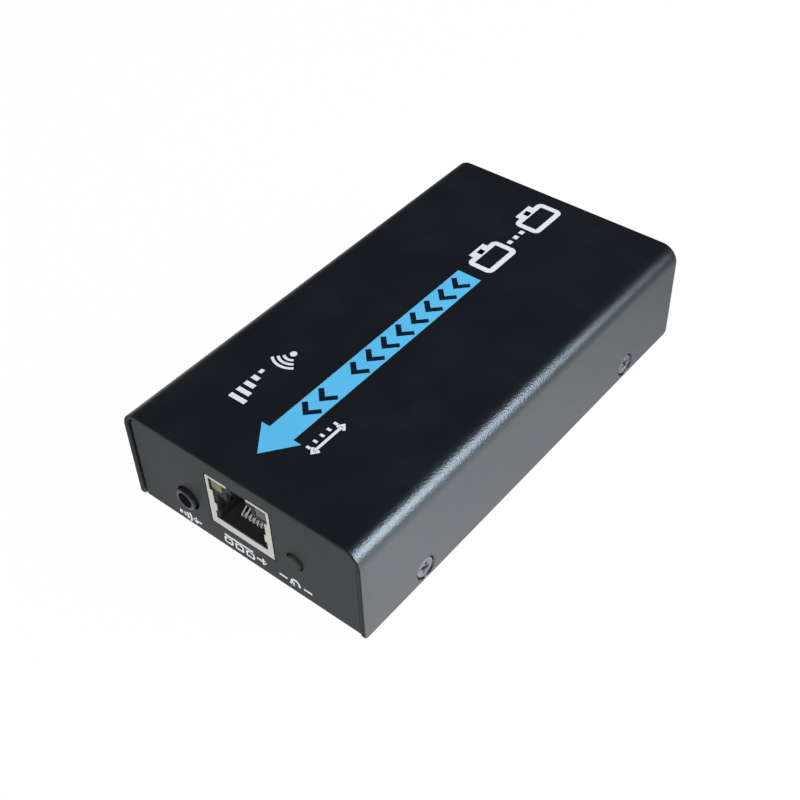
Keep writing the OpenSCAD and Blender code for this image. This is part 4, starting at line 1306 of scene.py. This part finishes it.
@dataclass
class PanelPrint:
    """Plain signs under the openings of the front panel, in place of words."""

    line: float = 0.5
    barb: float = 0.8
    dot_place: tuple[float, float] = (-18.4, 3.0)
    dot_r: float = 0.5
    wave_radii: tuple[float, ...] = (1.2, 2.05, 2.9)
    wave_half_angle: float = 25
    wave_steps: int = 12
    wave_arrow: tuple[float, float] = (5.8, 3.7)
    box_place: tuple[float, float] = (-5.0, 3.95)
    box_count: int = 3
    box_pitch: float = 2.9
    box_w: float = 1.9
    box_h: float = 1.35
    box_down: float = 0.5
    box_line_share: float = 0.85
    rail_from: float = -0.9
    rail_to: float = 6.7
    rail_up: float = 0.95
    hanger_low: float = 0.1
    hanger_high: float = 0.8
    box_arrow: tuple[float, float] = (7.6, 9.9)
    ring_place: tuple[float, float] = (12.6, 3.7)
    ring_r: float = 1.0
    ring_from: float = -30
    ring_to: float = 230
    ring_steps: int = 22
    ring_head: tuple[tuple[float, float], ...] = ((-0.85, 0.25), (0, 0), (0.15, 0.9))
    bar_near: float = 2.1
    bar_far: float = 4.2

    def build(self) -> None:
        """Makes the signs for the infrared jack, the network socket and the reset button."""
        front = -node_box("base_tray")[0][1]
        marks = Marks(FACING_FRONT, (0, -front, 0))
        signs = joined([self.infrared(marks), self.network(marks), self.reset(marks)])
        add_piece(signs, "printed_panel_signs", WHITE_INK)

    def arrow(self, marks: Marks, tail: float, tip: float, level: float) -> Shape:
        """A thin arrow along X with two barbs.

        Args:
            marks: the marks of the front panel.
            tail: where it starts.
            tip: where it points to.
            level: its height.

        Returns:
            The joined solids.
        """
        back = tip + math.copysign(self.barb, tail - tip)
        head = [(back, level + self.barb), (tip, level), (back, level - self.barb)]
        return marks.stroke([(tail, level), (tip, level)], self.line) + marks.stroke(head, self.line)

    def infrared(self, marks: Marks) -> Shape:
        """A dot with waves, and an arrow towards them.

        Args:
            marks: the marks of the front panel.

        Returns:
            The joined solids.
        """
        x, z = self.dot_place
        parts = [marks.dot((x, z), self.dot_r)]
        for radius in self.wave_radii:
            wave = arc((x, z), radius, -self.wave_half_angle, self.wave_half_angle, self.wave_steps)
            parts.append(marks.stroke(wave, self.line))
        tail, tip = self.wave_arrow
        parts.append(self.arrow(marks, x + tail, x + tip, z))
        return joined(parts)

    def network(self, marks: Marks) -> Shape:
        """Three boxes that hang on one line, and an arrow that leaves them.

        Args:
            marks: the marks of the front panel.

        Returns:
            The joined solids.
        """
        x, z = self.box_place
        places = [x + step * self.box_pitch for step in range(self.box_count)]
        thin = self.line * self.box_line_share
        parts = [marks.box((at, z - self.box_down), self.box_w, self.box_h, thin) for at in places]
        rail = [(x + self.rail_from, z + self.rail_up), (x + self.rail_to, z + self.rail_up)]
        parts.append(marks.stroke(rail, self.line))
        for at in places:
            hanger = [(at, z + self.hanger_low), (at, z + self.hanger_high)]
            parts.append(marks.stroke(hanger, self.line))
        tail, tip = self.box_arrow
        parts.append(self.arrow(marks, x + tail, x + tip, z))
        return joined(parts)

    def reset(self, marks: Marks) -> Shape:
        """A ring that turns back on itself, between two short bars.

        Args:
            marks: the marks of the front panel.

        Returns:
            The joined solids.
        """
        x, z = self.ring_place
        ring = arc((x, z), self.ring_r, self.ring_from, self.ring_to, self.ring_steps)
        tip = np.array(ring[-1])
        head = [tuple(tip + step) for step in self.ring_head]
        parts = [marks.stroke(ring, self.line), marks.stroke(head, self.line)]
        for side in (-1, 1):
            bar = [(x + side * self.bar_near, z), (x + side * self.bar_far, z)]
            parts.append(marks.stroke(bar, self.line))
        return joined(parts)


@dataclass
class Tray:
    """The folded tray with both end panels, and the feet under it."""

    edge_mm: float = 0.1
    sheet: float = 1.0
    margin: float = 2.0
    facing: float = 0.5
    foot_round: float = 0.35
    foot_steps: int = 8
    foot_taper: float = 0.05
    foot_lip: float = 0.1
    foot_lip_in: float = 0.2
    foot_middle: float = 0.01

    def feet(self) -> Shape:
        """Four round feet: a turned outline with a rounded lower rim and a cut upper one.

        Returns:
            The feet as one shape.
        """
        low, high = node_box("rubber_feet")
        radius = self.foot_radius()
        r = self.foot_round
        outline = [(self.foot_middle, low[2])]
        outline += arc((radius - r, low[2] + r), r, -90, 0, self.foot_steps)
        outline += [
            (radius - self.foot_taper, high[2] - self.foot_lip),
            (radius - self.foot_lip_in, high[2]),
            (self.foot_middle, high[2]),
        ]
        foot = lathe(outline)
        x, y = high[0] - radius, high[1] - radius
        places = [(sx * x, sy * y, 0) for sx in (-1, 1) for sy in (-1, 1)]
        return joined(foot.moved(np.eye(3), place) for place in places)

    def paint_hole_shade(self, mesh: bpy.types.Mesh) -> None:
        """Paints shade on the walls of the panels' holes: a near-black, dull finish that stands in for the
        shadow in the gaps round the openings.

        Such a wall lies inside one of the two panels, away from the case's sides, and faces across Y.

        Args:
            mesh: the tray's mesh.
        """
        mesh.materials.append(HOLE_PAINTED_SHADE.material())
        _, high = node_box("base_tray")
        for face in mesh.polygons:
            x, y, z = face.center / MM
            in_panel = high[1] - self.sheet < abs(y) < high[1]
            inside = abs(x) < high[0] - self.margin and self.margin < z < high[2] - self.sheet
            if in_panel and inside and abs(face.normal.y) < self.facing:
                face.material_index = 1

    def foot_radius(self) -> float:
        """Radius of a foot, read from the frame's mesh.

        Returns:
            The radius.
        """
        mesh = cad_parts["rubber_feet"].data
        points = np.array([v.co for v in mesh.vertices]) / MM
        corner = points[(points[:, 0] > 0) & (points[:, 1] > 0)]
        return float(corner[:, 0].max() - corner[:, 0].min()) / 2

    def build(self) -> None:
        """Makes the tray and the feet."""
        tray = dress_copy("base_tray", "tray_sheet", TRAY_COAT, self.edge_mm)
        # Painted shade on the walls of the panels' holes
        self.paint_hole_shade(tray.data)
        add_piece(self.feet(), "feet", RUBBER, stands_for=["rubber_feet"])


@dataclass
class ResetButton:
    """The round button that rides on the moving body."""

    edge_r: float = 0.35
    edge_drop_share: float = 0.4
    edge_angle: float = 78
    edge_steps: int = 8
    crown: float = 0.12
    crown_rings: int = 10
    flange: float = 0.35
    flange_t: float = 0.6
    middle_r: float = 0.01
    middle_share: float = 0.01

    def build(self) -> None:
        """Makes the button: a turned outline with a slightly crowned face and a flange behind it."""
        low, high = node_box("reset_button")
        flange_r = float(high[0] - low[0]) / 2
        length = float(high[1] - low[1])
        face_r = flange_r - self.flange
        flat_r = face_r - self.edge_r
        step_z = -length + self.flange_t
        outline = [(self.middle_r, -length), (flange_r, -length), (flange_r, step_z), (face_r, step_z)]
        edge_z = -self.edge_r - self.crown * self.edge_drop_share
        outline += arc((flat_r, edge_z), self.edge_r, 0, self.edge_angle, self.edge_steps)
        share = np.linspace(1, self.middle_share, self.crown_rings)
        outline += list(zip((flat_r * share).tolist(), (-self.crown * share**2).tolist()))
        middle = (low + high) / 2
        shape = lathe(outline).moved(FACING_FRONT, (middle[0], low[1], middle[2]))
        add_piece(
            shape, "reset_cap", BUTTON_PLASTIC, body=RESET,
            stands_for=["reset_button"],
        )


@dataclass
class NetworkSocket:
    """The shielded network socket: shield, housing, spring contacts and two lamps."""

    front_strip: float = 0.45
    count: int = 8
    comb_half: float = 4.0
    comb_from: float = 3.2
    comb_to: float = 11.2
    comb_low: float = 0.05
    comb_high: float = 0.7
    rib_w: float = 0.36
    rib_rise: float = 0.3
    rim_facing: float = 0.9
    shield_edge: float = 0.05
    housing_edge: float = 0.06
    contact_edge: float = 0.04
    lamp_edge: float = 0.12

    def comb(self) -> Shape:
        """The black comb under the spring contacts: a plate, with a low rib between each two contacts.

        Returns:
            The closed shapes as one.
        """
        low, high = node_box("lan_contacts")
        shield_low, _ = node_box("lan_shield")
        board = node_box("circuit_board")[1][2]
        middle = (low[0] + high[0]) / 2
        front = shield_low[1]
        pitch = (high[0] - low[0]) / self.count
        spans = [(-self.comb_half, self.comb_half, self.comb_high)]
        for step in range(1, self.count):
            rib = (step - self.count / 2) * pitch
            spans.append((rib - self.rib_w / 2, rib + self.rib_w / 2, self.comb_high + self.rib_rise))
        parts = []
        near, far = self.comb_from, self.comb_to
        for left, right, top in spans:
            outline = np.array([(left, near), (right, near), (right, far), (left, far)])
            rings = [np.column_stack([outline, np.full(len(outline), h)]) for h in (self.comb_low, top)]
            parts.append(closed_rings(np.stack(rings)).moved(np.eye(3), (middle, front, board)))
        return joined(parts)

    def paint_inside_shade(self, mesh: bpy.types.Mesh) -> None:
        """Paints shade on the shield's faces behind its front rim: a darker, bluish copy of the tin that
        stands in for the shade inside the socket's mouth.

        Args:
            mesh: the shield's mesh.
        """
        mesh.materials.append(TIN_PAINTED_SHADE.material())
        front = node_box("lan_shield")[0][1]
        for face in mesh.polygons:
            behind = face.center.y / MM > front + self.front_strip
            if behind and abs(face.normal.y) < self.rim_facing:
                face.material_index = 1

    def build(self) -> None:
        """Makes the socket's pieces."""
        shield = dress_copy(
            "lan_shield", "network_shield", TINNED_STEEL, self.shield_edge
        )
        # Painted shade on the shield's faces inside the mouth
        self.paint_inside_shade(shield.data)
        dress_copy(
            "lan_housing", "network_housing", SOCKET_PLASTIC, self.housing_edge,
            segments=1,
        )
        dress_copy(
            "lan_contacts", "network_contacts", SILVERED, self.contact_edge, segments=1
        )
        add_piece(self.comb(), "network_comb", SOCKET_PLASTIC)
        dress_copy("lan_led_left", "network_lamp_left", AMBER_LENS, self.lamp_edge)
        dress_copy("lan_led_right", "network_lamp_right", GREEN_LENS, self.lamp_edge)


@dataclass
class Jacks:
    """The jack, sockets and lamp that stand in the two panels."""

    jack_edge: float = 0.1
    shell_edge: float = 0.06
    tongue_edge: float = 0.08
    barrel_edge: float = 0.12
    pin_edge: float = 0.05
    lamp_edge: float = 0.05

    def build(self) -> None:
        """Makes the pieces that show in the panels."""
        dress_copy("ir_jack_body", "infrared_jack", JACK_PLASTIC, self.jack_edge)
        dress_copy("video_shell", "video_socket_shell", NICKEL, self.shell_edge)
        dress_copy(
            "video_insert", "video_socket_tongue", SOCKET_PLASTIC, self.tongue_edge
        )
        dress_copy("power_jack_body", "power_jack", JACK_PLASTIC, self.barrel_edge)
        dress_copy("power_jack_pin", "power_pin", NICKEL, self.pin_edge)
        dress_copy("power_lamp", "power_lamp_lens", RED_LENS, self.lamp_edge)


INNER_FINISHES: dict[str, Finish] = {
    "board_standoffs": BRASS,
    "board_screws": PLATED_STEEL,
    "circuit_board": SOLDER_MASK,
    "ir_jack_contacts": NICKEL,
    "reset_frame": NICKEL,
    "reset_base": SOCKET_PLASTIC,
    "reset_dome": NICKEL,
    "video_contacts": GILT,
    "power_jack_contacts": NICKEL,
    "power_lamp_leads": NICKEL,
    "processor": CHIP_RESIN,
    "thermal_pad": THERMAL_PAD,
    "heat_sink": SINK_ALUMINIUM,
    "memory_chip": CHIP_RESIN,
    "flash_chip": CHIP_RESIN,
    "video_chip": CHIP_RESIN,
    "network_chip": CHIP_RESIN,
    "line_transformer": CHIP_RESIN,
    "chip_leads": NICKEL,
    "crystals": CAN_ALUMINIUM,
    "inductors": FERRITE,
    "capacitor_cans": CAN_ALUMINIUM,
    "capacitor_bases": CHIP_RESIN,
    "regulators": CHIP_RESIN,
    "ceramic_capacitors": CERAMIC,
    "chip_resistors": RESISTOR,
}


def dress_inner_pieces() -> None:
    """Gives each CAD node that stays its own finish."""
    for node, finish in INNER_FINISHES.items():
        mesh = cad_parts[node].data
        mesh.materials.clear()
        mesh.materials.append(finish.material())
        log.info("%s: %s", node, finish.name)


@dataclass
class Studio:
    """The floor, the lamps and the camera."""

    eye: tuple[float, float, float] = (123.623, -151.389, 192.086)
    azimuth: float = 40.409
    elevation: float = 43.967
    roll: float = -2.307
    lens_mm: float = 56.434
    sensor_mm: float = 36.0
    floor_half: float = 3000.0
    floor_colour: RGB = (0.92, 0.92, 0.92)
    floor_seen: float = 0.97
    floor_mirrored: float = 0.88
    floor_mirror_colour: RGB = (0.90, 0.95, 1.0)
    floor_pale: float = 1.12
    floor_dimmed: float = 0.05
    floor_dimmed_from: float = -80.0
    floor_dimmed_to: float = 200.0
    horizon: RGB = (0.32, 0.34, 0.38)
    overhead: RGB = (0.034, 0.042, 0.052)
    overhead_from: float = 0.32
    horizon_behind: RGB = (0.05, 0.06, 0.08)
    rear_from: float = 0.35
    rear_to: float = 0.75
    window_place: tuple[float, float, float] = (301.0, 102.0, 175.0)
    window_aim: tuple[float, float, float] = (28.0, -40.0, 20.0)
    window_size: float = 250.0
    window_power: float = 0.95
    window_colour: RGB = (0.70, 0.85, 1.0)
    key_towards: tuple[float, float, float] = (0.30, -0.62, 0.72)
    key_strength: float = 2.4
    key_spread: float = 40
    key_colour: RGB = (1.0, 0.99, 0.97)

    def camera(self) -> None:
        """Makes the camera at the photograph's place, turn and lens."""
        data = bpy.data.cameras.new("photo_camera")
        data.lens = self.lens_mm
        data.sensor_width = self.sensor_mm
        camera = bpy.data.objects.new("photo_camera", data)
        bpy.context.scene.collection.objects.link(camera)
        turn, rise = math.radians(self.azimuth), math.radians(self.elevation)
        ahead = Vector((-math.sin(turn) * math.cos(rise), math.cos(turn) * math.cos(rise), -math.sin(rise)))
        level = Vector((math.cos(turn), math.sin(turn), 0))
        up = level.cross(ahead)
        tilt = math.radians(self.roll)
        right = level * math.cos(tilt) + up * math.sin(tilt)
        top = right.cross(ahead)
        matrix = Matrix((right, top, -ahead)).transposed().to_4x4()
        matrix.translation = Vector(self.eye) * MM
        camera.matrix_world = matrix
        bpy.context.scene.camera = camera

    def key(self) -> None:
        """Makes the far soft lamp, which leaves no mirror image of itself in gloss."""
        data = bpy.data.lights.new("key", "SUN")
        data.energy = self.key_strength
        data.angle = math.radians(self.key_spread)
        data.color = self.key_colour
        lamp = bpy.data.objects.new("key", data)
        lamp.rotation_euler = Vector(self.key_towards).to_track_quat("Z", "Y").to_euler()
        lamp.visible_glossy = False
        bpy.context.scene.collection.objects.link(lamp)

    def window(self) -> None:
        """Makes the near round lamp beside the case, which draws the highlight along the bend."""
        data = bpy.data.lights.new("window", "AREA")
        data.shape = "DISK"
        data.size = self.window_size * MM
        data.energy = self.window_power
        data.color = self.window_colour
        lamp = bpy.data.objects.new("window", data)
        place, aim = Vector(self.window_place), Vector(self.window_aim)
        lamp.location = place * MM
        lamp.rotation_euler = (place - aim).to_track_quat("Z", "Y").to_euler()
        bpy.context.scene.collection.objects.link(lamp)

    def surroundings(self) -> bpy.types.World:
        """Makes the world: pale at the horizon, dark overhead and behind, white to the camera.

        Returns:
            The world.
        """
        world = bpy.data.worlds.new("studio")
        world.use_nodes = True
        world.node_tree.nodes.clear()
        graph = Graph(world.node_tree)
        direction = graph.node("ShaderNodeTexCoord").outputs["Generated"]
        parts = graph.node("ShaderNodeSeparateXYZ", {0: direction})
        rear = graph.step(parts.outputs["Y"], self.rear_from, self.rear_to)
        far = graph.blend(rear, (*self.horizon, 1), (*self.horizon_behind, 1))
        above = graph.step(parts.outputs["Z"], 0.0, self.overhead_from)
        colour = graph.blend(above, far, (*self.overhead, 1))
        room = graph.node("ShaderNodeBackground", {"Color": colour})
        white = graph.node("ShaderNodeBackground", {"Color": (1, 1, 1, 1)})
        seen = graph.node("ShaderNodeLightPath").outputs["Is Camera Ray"]
        mixed = graph.node("ShaderNodeMixShader", {0: seen, 1: room.outputs[0], 2: white.outputs[0]})
        graph.node("ShaderNodeOutputWorld", {"Surface": mixed.outputs[0]})
        return world

    def floor(self) -> None:
        """Makes the plain floor, which shows white to the camera, pale in gloss, and keeps the shadow."""
        half = self.floor_half * MM
        mesh = bpy.data.meshes.new("floor")
        corners = [(-half, -half, 0), (half, -half, 0), (half, half, 0), (-half, half, 0)]
        mesh.from_pydata(corners, [], [(0, 1, 2, 3)])
        floor = bpy.data.objects.new("floor", mesh)
        bpy.context.scene.collection.objects.link(floor)
        material = bpy.data.materials.new("floor")
        material.use_nodes = True
        material.node_tree.nodes.clear()
        graph = Graph(material.node_tree)
        paint = graph.node("ShaderNodeBsdfDiffuse", {"Color": (*self.floor_colour, 1)})
        white = graph.node("ShaderNodeEmission", {"Color": (1, 1, 1, 1), "Strength": 1.0})
        path = graph.node("ShaderNodeLightPath")
        seen = graph.math("MULTIPLY", path.outputs["Is Camera Ray"], self.floor_seen)
        shown = graph.node("ShaderNodeMixShader", {0: seen, 1: paint.outputs[0], 2: white.outputs[0]})
        place = graph.node("ShaderNodeTexCoord").outputs["Object"]
        along = graph.node("ShaderNodeSeparateXYZ", {0: place}).outputs["Y"]
        rear = graph.step(along, self.floor_dimmed_from * MM, self.floor_dimmed_to * MM)
        strength = graph.mix(rear, self.floor_pale, self.floor_dimmed)
        pale = graph.node(
            "ShaderNodeEmission", {"Color": (*self.floor_mirror_colour, 1), "Strength": strength}
        )
        mirrored = graph.math("ADD", path.outputs["Is Glossy Ray"], path.outputs["Is Transmission Ray"])
        mirrored = graph.math("MULTIPLY", graph.math("MINIMUM", mirrored, 1.0), self.floor_mirrored)
        mixed = graph.node("ShaderNodeMixShader", {0: mirrored, 1: shown.outputs[0], 2: pale.outputs[0]})
        graph.node("ShaderNodeOutputMaterial", {"Surface": mixed.outputs[0]})
        mesh.materials.append(material)

    def build(self) -> None:
        """Sets the view, the world, the lamps, the floor and the camera."""
        scene = bpy.context.scene
        scene.view_settings.view_transform = "Standard"
        scene.world = self.surroundings()
        self.key()
        self.window()
        self.floor()
        self.camera()


def main() -> None:
    """Builds the studio and every piece, in order."""
    logging.basicConfig(level=logging.INFO, format="%(name)s: %(message)s")
    for make in (make_grain_effect, make_mottle_effect, make_wear_effect, make_dust_effect):
        make()
    Studio().build()
    for part in (Cover(), TopPrint(), Tray(), PanelPrint(), NetworkSocket(), ResetButton(), Jacks()):
        log.info("building %s", type(part).__name__)
        part.build()
    dress_inner_pieces()


if __name__ == "__main__":
    main()
